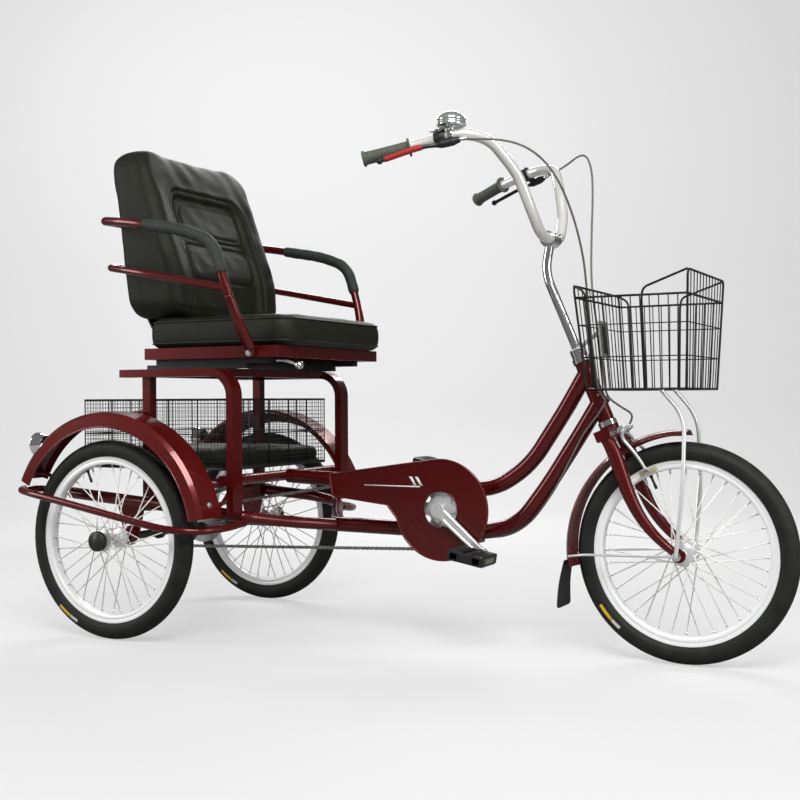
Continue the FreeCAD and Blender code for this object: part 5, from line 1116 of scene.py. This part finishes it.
build("cable_to_front", tube(curve_line("front_line", FRONT_CABLE), CABLE_R, 14), "steering", CABLE_GREY,
      ["cable_front"])
rear_cable = build("cable_to_rear", tube(curve_line("rear_line", REAR_CABLE), CABLE_R, 14), None, CABLE_GREY)
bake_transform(rear_cable)
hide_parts("cable_bars", "cable_frame")

# %% [markdown]
# The front brake: two thin arms cross in front of the fork crown on one bolt and carry a pad each. A spring
# wire lies behind them. The arms are bent bars, so each is a tube along straight runs and tangent arcs.

# %% Front brake
HEAD_UP = np.array([-math.cos(math.radians(67)), 0, math.sin(math.radians(67))])
HEAD_AHEAD = np.array([HEAD_UP[2], 0, -HEAD_UP[0]])
CROWN = place(1185, 0, 534) - HEAD_UP * 0.021
CALIPER = CROWN + HEAD_AHEAD * 0.0183
PAD_TURN, PAD_RADIUS, PAD_Y = 113, 0.199, 0.019
BOLT_PROFILE = [(0.01, -1), (5, -1), (5, 1), (3.4, 1.2), (3.4, 11.5), (5.4, 11.6), (5.4, 15), (0.01, 15.4)]
lean = math.radians(PAD_TURN - 90)
swing = np.array([[math.cos(lean), 0, -math.sin(lean)], [0, 1, 0], [math.sin(lean), 0, math.cos(lean)]])
arms, brake_bolts, pads = [], [], []
for side in (1, -1):
    start = CALIPER + HEAD_AHEAD * (0.008 if side > 0 else 0.016)
    spot = from_axle(FRONT, PAD_RADIUS, PAD_TURN, side * PAD_Y)
    foot = spot + np.array([0, side * 0.0143, 0])
    rows = np.array([start, place(1224, side * 38, 512), place(1264, side * 46, 470), foot])
    path = bent(rows, 0.002)
    share = np.linspace(0, 1, len(path))
    arms.append(tube(path, 0.0046 - 0.0012 * share, 16))
    brake_bolts.append(around(spot + np.array([0, side * 0.0083, 0]), (0, side, 0), BOLT_PROFILE, 20))
    block = rounded_box((0.042, 0.008, 0.010), 0.002)
    pads.append((block[0] @ swing.T + spot + np.array([0, side * 0.004, 0]), block[1]))
SPRING = np.array([(0, 0.030, -0.006), (0, 0.012, 0.012), (0, -0.012, 0.012), (0, -0.030, -0.006)])
arms.append(tube(bent(CALIPER + HEAD_AHEAD * 0.004 + SPRING, 0.002), 0.0012, 8))
MIDDLE_PROFILE = [(0.01, -0.2), (9, -0.2), (9, 2), (4.2, 2.2), (4.2, 5), (7.6, 5.2), (7.6, 20), (4.2, 20.2),
                  (4.2, 22),
                  (8.2, 22.2), (8.2, 23.4), (6.6, 23.6), (6.6, 29), (4.2, 30), (4.2, 33.8), (0.01, 34)]
middle = around(CALIPER, HEAD_AHEAD, MIDDLE_PROFILE, 28)
crease(build("caliper_arms", join(middle, *arms), "steering", ALLOY, ["front_brake"]), 45)
crease(build("caliper_bolts", join(*brake_bolts), "steering", CHROME), 45)
build("caliper_pads", join(*pads), "steering", PAD_TAN, ["brake_pads"])

# %% [markdown]
# Wire baskets. A wall is a sloped panel between four corners. Its wires are straight tubes between points on
# its edges, so one function makes any number of wires at once by turning and stretching a single unit bar.

# %% Baskets
def wires(starts, ends, radius, sides=7):
    """Straight round wires: one unit bar is turned, stretched and moved once for each pair of ends."""
    starts, ends = np.asarray(starts, float), np.asarray(ends, float)
    way = ends - starts
    length = np.linalg.norm(way, axis=1)
    way = way / length[:, None]
    other = np.cross(way, [0.31, 0.77, 0.56])
    other = other / np.linalg.norm(other, axis=1, keepdims=True)
    third = np.cross(way, other)
    ring = circle(sides) * radius
    bar = np.array([(0, 0, 0), (0, 0, 1)] + [(a, b, h) for h in (0, 1) for a, b in ring])
    points = (bar[None, :, :1] * other[:, None] + bar[None, :, 1:2] * third[:, None]
              + bar[None, :, 2:] * (way * length[:, None])[:, None] + starts[:, None])
    k = np.arange(sides)
    nxt = (k + 1) % sides
    none = np.full(sides, -1)
    faces = np.concatenate([np.stack([2 + k, 2 + sides + k, 2 + sides + nxt, 2 + nxt], 1),
                            np.stack([np.zeros(sides, int), 2 + k, 2 + nxt, none], 1),
                            np.stack([np.ones(sides, int), 2 + sides + nxt, 2 + sides + k, none], 1)])
    steps = (np.arange(len(starts)) * len(bar))[:, None, None]
    many = np.where(faces[None] < 0, -1, faces[None] + steps)
    return points.reshape(-1, 3), many.reshape(-1, 4)


def panel(corners, columns, levels, radius):
    """Upright wires at even steps and level ones at given shares of the height, from edge to edge."""
    low_a, low_b, high_b, high_a = (np.asarray(c, float) for c in corners)
    u = np.linspace(0, 1, columns + 1)[:, None]
    low, high = low_a + (low_b - low_a) * u, high_a + (high_b - high_a) * u
    v = np.asarray(levels, float)[:, None]
    left, right = low_a + (high_a - low_a) * v, low_b + (high_b - low_b) * v
    return join(wires(low, high, radius), wires(left, right, radius))


def at_share(low, high, share):
    """The point a given share of the way from low to high."""
    return low + (high - low) * share


def straight(start, end, radius):
    """One straight round bar between two points."""
    return tube(np.array([start, (start + end) / 2, end]), radius, 10)


# The basket's depth to its low rim, and how high its rear and front walls rise, in millimetres. A corner is
# called by 0 for the rear or 1 for the front, and by its side.
DEPTH, REAR_RISE, FRONT_RISE = 202, 228, 253
WIRE, EDGE_WIRE, BASKET_WIRES = 0.0013, 0.0026, 12
FOOT_Z, RIM_Z = 618, 820
FLOOR_CORNERS = {(i, j): place(x, j * 140, FOOT_Z) for i, x in ((0, 1180), (1, 1402)) for j in (-1, 1)}
RIM_CORNERS = {(i, j): place(x, j * 161, RIM_Z) for i, x in ((0, 1161), (1, 1410)) for j in (-1, 1)}
REAR_TOP = {j: at_share(FLOOR_CORNERS[0, j], RIM_CORNERS[0, j], REAR_RISE / DEPTH) for j in (-1, 1)}
FRONT_TOP = {j: at_share(FLOOR_CORNERS[1, j], RIM_CORNERS[1, j], FRONT_RISE / DEPTH) for j in (-1, 1)}
ROUND = [(0, -1), (1, -1), (1, 1), (0, 1)]
thin = [panel([FLOOR_CORNERS[0, -1], FLOOR_CORNERS[0, 1], REAR_TOP[1], REAR_TOP[-1]], BASKET_WIRES,
              [0.31, 0.62, DEPTH / REAR_RISE], WIRE),
        panel([FLOOR_CORNERS[1, -1], FLOOR_CORNERS[1, 1], FRONT_TOP[1], FRONT_TOP[-1]], BASKET_WIRES,
              [0.28, 0.56, DEPTH / FRONT_RISE], WIRE),
        panel([FLOOR_CORNERS[0, -1], FLOOR_CORNERS[0, 1], FLOOR_CORNERS[1, 1], FLOOR_CORNERS[1, -1]],
              BASKET_WIRES, np.linspace(0, 1, 10), WIRE)]
thick = []
for j in (-1, 1):
    thin.append(panel([FLOOR_CORNERS[0, j], FLOOR_CORNERS[1, j], RIM_CORNERS[1, j], RIM_CORNERS[0, j]],
                      BASKET_WIRES, [0.35, 0.7], WIRE))
    foot, rim = [at_share(ring[0, j], ring[1, j], 0.6) for ring in (FLOOR_CORNERS, RIM_CORNERS)]
    rows = np.array([foot, rim + [0, 0, -0.004], rim + [0.004, 0, 0.016], FRONT_TOP[j]])
    thick.append(tube(bent(rows, 0.004), EDGE_WIRE, 10))
    foot, rim = [at_share(ring[0, j], ring[1, j], 0.1) for ring in (FLOOR_CORNERS, RIM_CORNERS)]
    rows = np.array([foot, rim, rim + [-0.006, 0, 0.014], REAR_TOP[j]])
    thick.append(tube(bent(rows, 0.004), EDGE_WIRE, 10))
for ring in (RIM_CORNERS, FLOOR_CORNERS):
    thick += [straight(ring[a], ring[b], EDGE_WIRE) for a, b in zip(ROUND, ROUND[1:] + ROUND[:1])]
for i, top in ((0, REAR_TOP), (1, FRONT_TOP)):
    rows = np.array([FLOOR_CORNERS[i, -1], top[-1], top[1], FLOOR_CORNERS[i, 1]])
    thick.append(tube(bent(rows, 0.004, 0.06), EDGE_WIRE, 10))
build("front_basket_wires", join(*thin), "steering", WIRE_BLACK, ["front_basket"])
build("front_basket_edges", join(*thick), "steering", WIRE_BLACK)

# The rear basket is a box. A corner is called by 0 or 1 for rear or front, right or left, and low or high.
BOX_X, BOX_Y, BOX_Z = (-190, 275), (-231.6, 231.6), (424, 600)
corner = {(i, j, k): place(BOX_X[i], BOX_Y[j], BOX_Z[k]) for i in (0, 1) for j in (0, 1) for k in (0, 1)}
FINE_WIRE, MESH_PITCH = 0.0006, 0.010
fine, posts = [], []
walls = [((0, 0), (1, 0)), ((1, 0), (1, 1)), ((1, 1), (0, 1)), ((0, 1), (0, 0))]
for a, b in walls:
    corners = [corner[(*a, 0)], corner[(*b, 0)], corner[(*b, 1)], corner[(*a, 1)]]
    columns = int(np.linalg.norm(corners[1] - corners[0]) / MESH_PITCH)
    fine.append(panel(corners, columns, np.linspace(0, 1, 18), FINE_WIRE))
    posts.append(panel(corners, 5, [0.02, 0.5], 0.0017))
    posts.append(straight(corners[3], corners[2], 0.003))
    posts.append(straight(corners[0], corners[1], 0.0024))
ground = [corner[0, 0, 0], corner[1, 0, 0], corner[1, 1, 0], corner[0, 1, 0]]
fine.append(panel(ground, 46, np.linspace(0, 1, 46), FINE_WIRE))
build("rear_basket_mesh", join(*fine), "frame", WIRE_BLACK, ["rear_basket"])
build("rear_basket_rods", join(*posts), "frame", WIRE_BLACK)

# %% [markdown]
# A small plate on the basket's rear wall holds it to the steering stem. It leans with the wall and is bare.

# %% Basket plate
WALL_FOOT, WALL_RIM = place(1180, 0, FOOT_Z), place(1161, 0, RIM_Z)
PLATE_AT = WALL_FOOT + (WALL_RIM - WALL_FOOT) * 0.575
PLATE_LEAN = math.atan2(WALL_RIM[0] - WALL_FOOT[0], WALL_RIM[2] - WALL_FOOT[2])


def leaned(size, radius, ahead):
    """A rounded slab that leans as the basket's rear wall does, this far ahead of it."""
    points, faces = rounded_box(size, radius)
    x = points[:, 0] * math.cos(PLATE_LEAN) + points[:, 2] * math.sin(PLATE_LEAN)
    z = points[:, 2] * math.cos(PLATE_LEAN) - points[:, 0] * math.sin(PLATE_LEAN)
    return np.stack([x + PLATE_AT[0] + ahead, points[:, 1] + PLATE_AT[1], z + PLATE_AT[2]], 1), faces


build("basket_plate", leaned((0.003, 0.060, 0.086), 0.0014, 0.0046), "steering", ZINC)
build("basket_plate_middle", leaned((0.004, 0.026, 0.066), 0.0018, 0.0068), "steering", PLASTIC)
print("basket plate at", PLATE_AT.round(4), "leans", round(math.degrees(PLATE_LEAN), 1), "degrees")

# %% [markdown]
# The drive. The chain's line is two arcs and the two straight runs that touch them. Links are placed along it
# one pitch apart, each turned to the line's direction there, with narrow and wide links in turn.

# %% Chain
PITCH, CHAIN_Y, RING_TEETH, SPROCKET_TEETH = 0.0127, -0.048, 48, 24
CRANK = place(784, 0, 330)
HUB = place(0, 0, 250)


def pitch_radius(teeth):
    """The radius at which a wheel of so many teeth carries the pins: each pitch is a chord."""
    return PITCH / 2 / math.sin(math.pi / teeth)


def chain_arc(centre, radius, start, end, count=240):
    """Points in the chain's plane on an arc between two angles."""
    t = np.linspace(start, end, count)
    return np.stack([centre[0] + radius * np.cos(t), np.full(count, CHAIN_Y),
                     centre[2] + radius * np.sin(t)], 1)


def chain_points():
    """Both ends of every link, at even steps of one pitch along the loop."""
    big, small = pitch_radius(RING_TEETH), pitch_radius(SPROCKET_TEETH)
    between = HUB - CRANK
    span = np.hypot(between[0], between[2])
    lean, swing = math.atan2(between[2], between[0]), math.acos((big - small) / span)
    front = chain_arc(CRANK, big, lean + swing, lean - swing + 2 * math.pi)
    rear = chain_arc(HUB, small, lean - swing, lean + swing)
    line = np.concatenate([front, rear, front[:1]])
    length = np.concatenate([[0], np.cumsum(np.linalg.norm(np.diff(line, axis=0), axis=1))])
    links = int(round(length[-1] / PITCH / 2) * 2)
    where = np.linspace(0, length[-1], links + 1)
    pins = np.stack([np.interp(where, length, line[:, k]) for k in range(3)], 1)
    return pins[:-1], pins[1:]


def link_plate(length, radius, waist, thick, y):
    """The outline of a link is two round ends and a waist, walked once and given a thickness."""
    t = np.linspace(-2.1, 2.1, 9)
    right = np.stack([length / 2 + radius * np.cos(t), radius * np.sin(t)], 1)
    left = -right
    ring = np.concatenate([right, [[0, waist]], left, [[0, -waist]]])
    n = len(ring)
    middles = [(0, y - thick / 2, 0), (0, y + thick / 2, 0)]
    points = np.array([(a, y + h, b) for h in (-thick / 2, thick / 2) for a, b in ring] + middles)
    k = np.arange(n)
    nxt = (k + 1) % n
    none = np.full(n, -1)
    faces = np.concatenate([np.stack([k, n + k, n + nxt, nxt], 1),
                            np.stack([np.full(n, 2 * n), k, nxt, none], 1),
                            np.stack([np.full(n, 2 * n + 1), n + nxt, n + k, none], 1)])
    return points, faces


def chain_shells():
    """One wide and one narrow link are copied in turn along the chain, and a roller to every pin."""
    pins, ahead = chain_points()
    middle = (pins + ahead) / 2
    way = (ahead - pins) / np.linalg.norm(ahead - pins, axis=1, keepdims=True)
    side = np.array([0, 1.0, 0])
    turns = np.stack([way, np.broadcast_to(side, way.shape), np.cross(way, side)], 2)
    wide, narrow = [join(*[link_plate(PITCH, 0.0042, 0.0030, 0.0010, y) for y in (-off, off)])
                    for off in (0.0034, 0.0022)]
    section = [(3.9, -1.7), (3.9, 1.7), (1.6, 1.7), (1.6, 4.0), (0.01, 4.0), (0.01, -4.0), (1.6, -4.0),
               (1.6, -1.7)]
    roller = lathe(np.array(section) / 1000, (0, 0, 0), 10)
    spin = np.broadcast_to(np.eye(3), (len(pins), 3, 3))
    return (join(copies(wide, turns[::2], middle[::2]), copies(narrow, turns[1::2], middle[1::2])),
            copies(roller, spin, pins))


plates, rollers = chain_shells()
crease(build("chain_links", plates, "frame", CHAIN_STEEL, ["chain"]), 40)
crease(build("chain_rollers", rollers, "frame", CHAIN_STEEL), 40)

# %% [markdown]
# The chainwheel is a flat disc with teeth, joined to the crank by a spider with six rounded lobes. Its
# outline is a function of the angle. The crank arm is a bar whose section changes along its length, and it
# has a flute.

# %% Chainwheel, cranks and pedals
def flat_ring(centre, inner, outer, y, thick, round_off=0.0003):
    """A flat ring between two outlines given as radius for each angle, with its four walls closed."""
    count = len(outer)
    t = np.linspace(0, 2 * math.pi, count, endpoint=False)
    rows = []
    for radius, h in ((inner, -thick / 2), (outer - round_off, -thick / 2), (outer, -thick / 2 + round_off),
                      (outer, thick / 2 - round_off), (outer - round_off, thick / 2), (inner, thick / 2)):
        rows.append(np.stack([radius * np.cos(t), np.full(count, y + h), radius * np.sin(t)], 1))
    return np.concatenate(rows) + centre, grid_faces(6, count, True, True)


def toothed(teeth, reach, root, count):
    """The radius at each angle of a toothed disc: a clipped cosine between the root and the tip of a tooth."""
    t = np.linspace(0, 2 * math.pi, count, endpoint=False) * teeth
    wave = np.clip(0.5 + 0.9 * np.cos(t), 0, 1)
    return root + (reach - root) * wave


RING_INNER, EYE_RADIUS, LOBE_COUNT = 0.063, 0.0095, 6
ring_outer = toothed(RING_TEETH, 0.0926, 0.0888, 20 * RING_TEETH)
lobe = np.linspace(0, 2 * math.pi, 720, endpoint=False)
lobes = 0.038 + 0.0235 * np.clip(0.55 + 0.75 * np.cos(LOBE_COUNT * lobe), 0, 1) ** 0.8
inner = np.full(len(lobe), EYE_RADIUS)
wheel = flat_ring(CRANK, np.full(len(ring_outer), RING_INNER), ring_outer, CHAIN_Y, 0.0030)
spider = flat_ring(CRANK, inner, lobes + 0.0032, CHAIN_Y - 0.0022, 0.0034, 0.0009)
rib = flat_ring(CRANK, inner, lobes * 0.62, CHAIN_Y - 0.0052, 0.0036, 0.0012)
bolts = [hex_bolt(from_axle(CRANK, 0.055, 360 / LOBE_COUNT * i, CHAIN_Y - 0.0038), (0, -1, 0), 0.008, 0.003,
                  0.0055)
         for i in range(LOBE_COUNT)]
CRANK_ARM, CRANK_LEAN = 0.152, {-1: -40, 1: 140}
crease(build("chainwheel", join(wheel, spider, rib, *bolts), "crank", ALLOY, ["chainring"]), 40)


def crank_shells(side):
    """One arm: the section is a rounded bar with a flute in its outer face, narrower towards the pedal."""
    lean = math.radians(CRANK_LEAN[side])
    way = np.array([math.cos(lean), 0, math.sin(lean)])
    stations = np.linspace(0, 1, 40)
    path = CRANK + np.array([0, side * 0.080, 0]) + way * (0.004 + 0.148 * stations)[:, None]
    half = 0.0135 - 0.0035 * stations
    loop = np.array([(-1, 0.2), (-1, 0.75), (-0.86, 1.0), (-0.60, 1.0), (-0.46, 0.86), (-0.34, 0.52),
                     (0, 0.46),
                     (0.34, 0.52), (0.46, 0.86), (0.60, 1.0), (0.86, 1.0), (1, 0.75), (1, 0.2), (1, -0.6),
                     (0.8, -1.0), (0, -1.0), (-0.8, -1.0), (-1, -0.6)])
    flute = np.interp(stations, [0, 0.10, 0.18, 0.84, 0.92, 1], [0, 0, 1, 1, 0, 0])[:, None]
    in_flute = np.abs(loop[:, 0])[None] < 0.5
    height = np.where(in_flute, 1.0 + (loop[None, :, 1] - 1.0) * flute, loop[None, :, 1])
    height[:, 15] = -1.0
    section = np.stack([loop[None, :, 0] * half[:, None] * np.ones_like(height), height * 0.0063 * side], 2)
    across = np.cross(way, [0, 1.0, 0])
    points = (path[:, None] + section[..., :1] * across + section[..., 1:] * np.array([0, 1.0, 0]))
    n = len(loop)
    body = (points.reshape(-1, 3), grid_faces(len(stations), n, False, True))
    if side > 0:
        body = (body[0], body[1][:, ::-1])
    eye = CRANK + way * CRANK_ARM
    turned_parts = [([(9.5, 67.2), (17.6, 67.2), (18.8, 68.5), (18.8, 85), (17.5, 86.4), (9.5, 86.4)], CRANK,
                     56, True),
                    ([(4.4, 73.7), (12.2, 73.7), (12.9, 74.6), (12.9, 85.4), (12.2, 86.3), (4.4, 86.3)], eye,
                     44, True),
                    ([(0.01, 80), (4.4, 80), (4.4, 176), (0.01, 176)], eye, 20, False),
                    ([(0.01, 84), (9.4, 84), (9.4, 85.6), (8.4, 86.6), (0.01, 86.8)], CRANK, 32, False)]
    shells = [body]
    for profile, centre, steps, closed in turned_parts:
        points, faces = lathe(np.array(profile) * [1, side] / 1000, centre, steps, closed=closed)
        shells.append((points, faces if side > 0 else faces[:, ::-1]))
    return shells


spindle = lathe(np.array([(0.01, -72), (8.4, -72), (8.4, 72), (0.01, 72)]) / 1000, CRANK, 28, closed=False)
crank_set = join(spindle, *crank_shells(-1), *crank_shells(1))
crease(build("crank_arms", crank_set, "crank", CRANK_ALLOY, ["cranks"]), 38)


def pedal_shells(side):
    """The black parts of one pedal and its reflectors, tilted about the pedal's axle."""
    eye = from_axle(CRANK, CRANK_ARM, CRANK_LEAN[side], side * 0.140)
    tilt = math.radians(10)
    swing = np.array([[math.cos(tilt), 0, math.sin(tilt)], [0, 1, 0], [-math.sin(tilt), 0, math.cos(tilt)]])
    black, shine = [], []
    for end in (-1, 1):
        tread = rounded_box((0.028, 0.091, 0.0255), 0.004)
        ridge = np.abs((tread[0][:, 1] * 1000 / 6.5) % 1 - 0.5) < 0.22
        flat = np.abs(tread[0][:, 2]) > 0.0115
        sunk = np.where((ridge & flat)[:, None], [1, 1, 0.93], [1, 1, 1.0])
        black.append((tread[0] * sunk + [end * 0.0295, 0, 0], tread[1]))
        black.append(moved(rounded_box((0.087, 0.010, 0.0235), 0.003), (0, end * 0.0405, 0)))
        for rib in np.linspace(-0.032, 0.032, 6):
            for face in (-1, 1):
                bar = rounded_box((0.026, 0.0035, 0.003), 0.001, 3)
                black.append(moved(bar, (end * 0.0295, rib, face * 0.0122)))
        shine.append(moved(rounded_box((0.0022, 0.050, 0.0125), 0.001, 3), (end * 0.0433, 0, 0)))
    black.append(lathe(np.array([(4.7, -45), (10.5, -45), (10.5, 45), (4.7, 45)]) / 1000, (0, 0, 0), 28))
    return [join(*[(points @ swing.T + eye, faces) for points, faces in shells]) for shells in (black, shine)]


for name, side in (("left", 1), ("right", -1)):
    black, shine = pedal_shells(side)
    crease(build("pedal_block_" + name, black, "pedal_" + name, PLASTIC, ["pedal_" + name]), 40)
    build("pedal_reflector_" + name, shine, "pedal_" + name, REFLECTOR)

# %% [markdown]
# Pressed sheet has rolled edges. A bead is a thin tube along the sheet's edge, which is an arc on a mudguard
# and the outline of the tray on the chain guard. The chain guard's bead is in the lighter mudguard red, not
# the guard's own red, as a painted highlight along that edge. Two slanted stripes are laid on the guard's long
# face.

# %% Rolled edges and stripes
GUARD_Y, GUARD_R, ARC_POINTS = -0.0663, 0.122, 130


def guard_outline():
    """The chain guard's outline: an arc about the crank and the straight edges that run back from it."""
    rear_top, rear_low = place(471, 0, 409), place(479, 0, 355)
    to_rear = rear_top - CRANK
    reach = np.hypot(to_rear[0], to_rear[2])
    touch = math.degrees(math.atan2(to_rear[2], to_rear[0]) - math.acos(GUARD_R / reach))
    neck_turn = 180 + math.degrees(math.asin(math.sqrt(122 ** 2 - (784 - 665) ** 2) / 122))
    arc = from_axle(CRANK, GUARD_R, np.linspace(touch, neck_turn - 360, ARC_POINTS))
    line = np.concatenate([arc, [place(636, 0, 338)], [rear_low], [rear_top]])
    return line * np.array([1, 0, 1]) + np.array([0, GUARD_Y, 0])


outline = guard_outline()
runs = [np.linspace(outline[ARC_POINTS - 1 + k], outline[(ARC_POINTS + k) % len(outline)], count)[1:]
        for k, count in enumerate((8, 30, 12, 60))]
fine_line = np.concatenate([outline[:ARC_POINTS], *runs])[:-1]
# The rolled rim is real, but its lighter mudguard red is a painted highlight: the guard itself is the darker
# frame red.
build("guard_rim", tube(fine_line, 0.0024, 10, closed=True), "frame", GUARD_RED)
hole = from_axle(CRANK, 0.0453, np.linspace(0, 360, 96, endpoint=False), GUARD_Y - 0.0002)
build("guard_hole_rim", tube(hole, 0.0018, 10, closed=True), "frame", RED)


def stripe(x, low, high, width, slant, y=-0.0668):
    """A flat slanted stripe, as a thin slab lying on the guard's face."""
    rows = [place(x, 0, low), place(x + width, 0, low), place(x + width + slant, 0, high),
            place(x + slant, 0, high)]
    ring = np.array(rows) * np.array([1, 0, 1])
    points = np.concatenate([ring + [0, y, 0], ring + [0, y + 0.0006, 0]])
    faces = np.array([(0, 1, 2, 3), (7, 6, 5, 4), (0, 4, 5, 1), (1, 5, 6, 2), (2, 6, 7, 3), (3, 7, 4, 0)])
    return points, faces


stripes = join(stripe(712, 387, 409, 8, -14), stripe(728, 387, 409, 8, -14), stripe(572, 383, 386, 156, 0))
build("guard_stripes", stripes, "frame", STRIPE_WHITE)

MUDGUARD, MUDGUARD_FROM, MUDGUARD_TO = place(10, 0, 262), 10, 154
beads = []
for y, radius in ((302.6, 0.3075 - 0.009), (393.6, 0.3075 - 0.036)):
    arc = from_axle(MUDGUARD, radius, np.linspace(MUDGUARD_FROM, MUDGUARD_TO, 120), y / 1000)
    beads.append(tube(arc, 0.0021, 10))
for side, name in ((1, "left"), (-1, "right")):
    shells = beads if side > 0 else [mirrored(bead) for bead in beads]
    build("mudguard_bead_" + name, join(*shells), "frame", GUARD_RED)
front_beads = [tube(from_axle(FRONT, 0.277 - 0.012, np.linspace(88, 190, 90), side * 0.0328), 0.0018, 10)
               for side in (-1, 1)]
build("front_guard_beads", join(*front_beads), "steering", GUARD_RED)

# %% [markdown]
# The flap under the front mudguard is soft rubber that hangs and curls a little forward at its foot. Its
# section is a function of how far down it is: the width grows and the surface swings in a shallow curve.

# %% Mud flap and tail lamps
def flap_shell():
    """Two faces a hair apart, as functions of how far down and how far across, and the walls between them."""
    rows, columns = 60, 40
    down, across = np.linspace(0, 1, rows)[:, None], np.linspace(-1, 1, columns)[None, :]
    top = from_axle(FRONT, 0.2773, 186.0)
    half = 0.030 + 0.0155 * down - 0.006 * np.clip((down - 0.93) / 0.07, 0, 1) ** 2
    corner = np.sqrt(np.clip(1 - np.clip((down - 0.9) / 0.1, 0, 1) ** 2 * np.abs(across) ** 8, 0, 1))
    x = top[0] - 0.0125 * down - 0.004 * np.sin(down * math.pi) + 0 * across
    z = top[2] - 0.1115 * down * (0.985 + 0.015 * corner)
    y = half * across * (0.97 + 0.03 * corner)
    ribs = 0.0006 * (np.abs((down * 14) % 1 - 0.5) < 0.28) * (down > 0.35) * (np.abs(across) < 0.85)
    back, front = np.stack([x - 0.0014 - ribs, y, z + 0 * x], -1), np.stack([x + 0.0010, y, z + 0 * x], -1)
    face = grid_faces(rows, columns, False, False)
    number = np.arange(rows * columns).reshape(rows, columns)
    border = np.concatenate([number[0], number[1:, -1], number[-1, -2::-1], number[-2:0:-1, 0]])
    nxt, n = np.roll(border, -1), rows * columns
    walls = np.stack([border, nxt, nxt + n, border + n], 1)
    faces = np.concatenate([face, face[:, ::-1] + n, walls[:, ::-1]])
    return np.concatenate([back.reshape(-1, 3), front.reshape(-1, 3)]), faces


crease(build("flap_rubber", flap_shell(), "steering", RUBBER, ["mud_flap"]), 40)

LAMP = place(-256, 338, 486)
shell_profile = [(22, 30), (24, 27), (28.5, 12), (31, 2.4), (31, 1.0), (30.2, 0.2), (28.6, 0.2), (28.2, 1.6)]
body_profile = [(9, 38), (10, 30.5), (21.6, 30.5), (22, 29.5)]
lens_profile = [(0.01, 0.3), (10, 0.5), (20, 1.2), (27, 2.2), (28.2, 3.4), (28.2, 6.0), (0.01, 6.0)]
for name, side in (("left", 1), ("right", -1)):
    spot = LAMP * np.array([1, side, 1])
    pieces = {"shell": (shell_profile, CHROME, "chrome", ["tail_lamps"] if side > 0 else []),
              "body": (body_profile, PLASTIC, "plastic", []), "lens": (lens_profile, LENS_RED, "plastic", [])}
    for part, (profile, finish, slot, stands) in pieces.items():
        shell = around(spot, (1, 0, 0), profile, 56)
        crease(build("lamp_%s_%s" % (part, name), shell, "frame", finish, stands), 45)

# %% [markdown]
# Hardware. Small bolts tell where the machine comes apart: on the armrests' feet, the seat stand and the
# stays. A slide knob and nuts on the front hub complete the parts that hands reach for.

# %% Bolts and knob
frame_bolts, seat_bolts, steering_bolts = [], [], []
feet = []
for side in (1, -1):
    foot_line = smooth_path(places([(341, side * 316.5, 852), (351, side * 308, 815), (356, side * 284, 765),
                                    (357, side * 257, 730), (356, side * 250.5, 712),
                                    (355, side * 250, 703)]), 40)
    flat = np.interp(np.linspace(0, 1, 40), [0, 0.25, 0.7, 0.97, 1], [0.0106, 0.0122, 0.017, 0.015, 0.007])
    thick = np.interp(np.linspace(0, 1, 40), [0, 0.25, 0.7, 1], [0.0106, 0.0110, 0.0050, 0.0045])
    section = circle(28)[None] * np.stack([flat, thick], 1)[:, None, :]
    feet.append(carry(foot_line, section, up=np.array([0, 1.0, 0])))
    seat_bolts.append(hex_bolt(place(356, 254.6 * side, 714), (0, side, 0), 0.012, 0.005, 0.009))
    for turn in (MUDGUARD_FROM + 6, MUDGUARD_TO - 6):
        spot = from_axle(MUDGUARD, 0.3082, turn, side * 0.350)
        outward = spot - MUDGUARD
        frame_bolts.append(hex_bolt(spot, outward * np.array([1, 0, 1]), 0.009, 0.004))
    frame_bolts.append(hex_bolt(place(41, 259.7 * side, 345), (0, side, 0), 0.008, 0.003))
    steering_bolts.append(hex_bolt(place(1361.5, side * 79.6, 250), (0, side, 0), 0.014, 0.006, 0.010))
    for z in (60, 95):
        seat_bolts.append(hex_bolt(place(18.8, side * 150, 640 + z), (-1, 0, 0), 0.010, 0.004))
build("armrest_feet", join(*feet), "seat", RED)
steering_bolts += [hex_bolt(place(1045, y, 974) + HEAD_AHEAD * 0.019, HEAD_AHEAD, 0.009, 0.005, 0.006)
                   for y in (-14, 14)]
crease(build("frame_bolts", join(*frame_bolts), "frame", ZINC), 35)
crease(build("seat_bolts", join(*seat_bolts), "seat", ZINC), 35)
crease(build("steering_bolts", join(*steering_bolts), "steering", CHROME), 35)
rod_path = smooth_path(places([(405, -206, 696), (432, -208, 694), (456, -210, 688), (472, -212, 684)]), 30)
build("slide_rod", tube(rod_path, 0.004, 14), "seat", ZINC)
knob = [(0.01, -9), (6.5, -9), (9.6, -5.5), (10.5, 0), (9.6, 5.5), (6.5, 9), (0.01, 9.4)]
build("slide_knob", around(place(474, -212, 683), (1, 0, -0.3), knob, 32), "seat", CHROME)
shaft_half = [(0.01, 407.4), (15, 407.4), (15.6, 406.2), (22.6, 406.2), (25, 403.8), (25, 392.6), (24, 391),
              (10, 391), (10, 167), (16.6, 167), (17, 166.4), (17, 153.6), (16.6, 153), (10, 153)]
profile = np.array(shaft_half + [(r, -y) for r, y in reversed(shaft_half)]) / 1000
build("shaft_dark", lathe(profile, HUB, 48, closed=False), "rear_wheel_left", HUB_OLIVE,
      ["rear_shaft"])
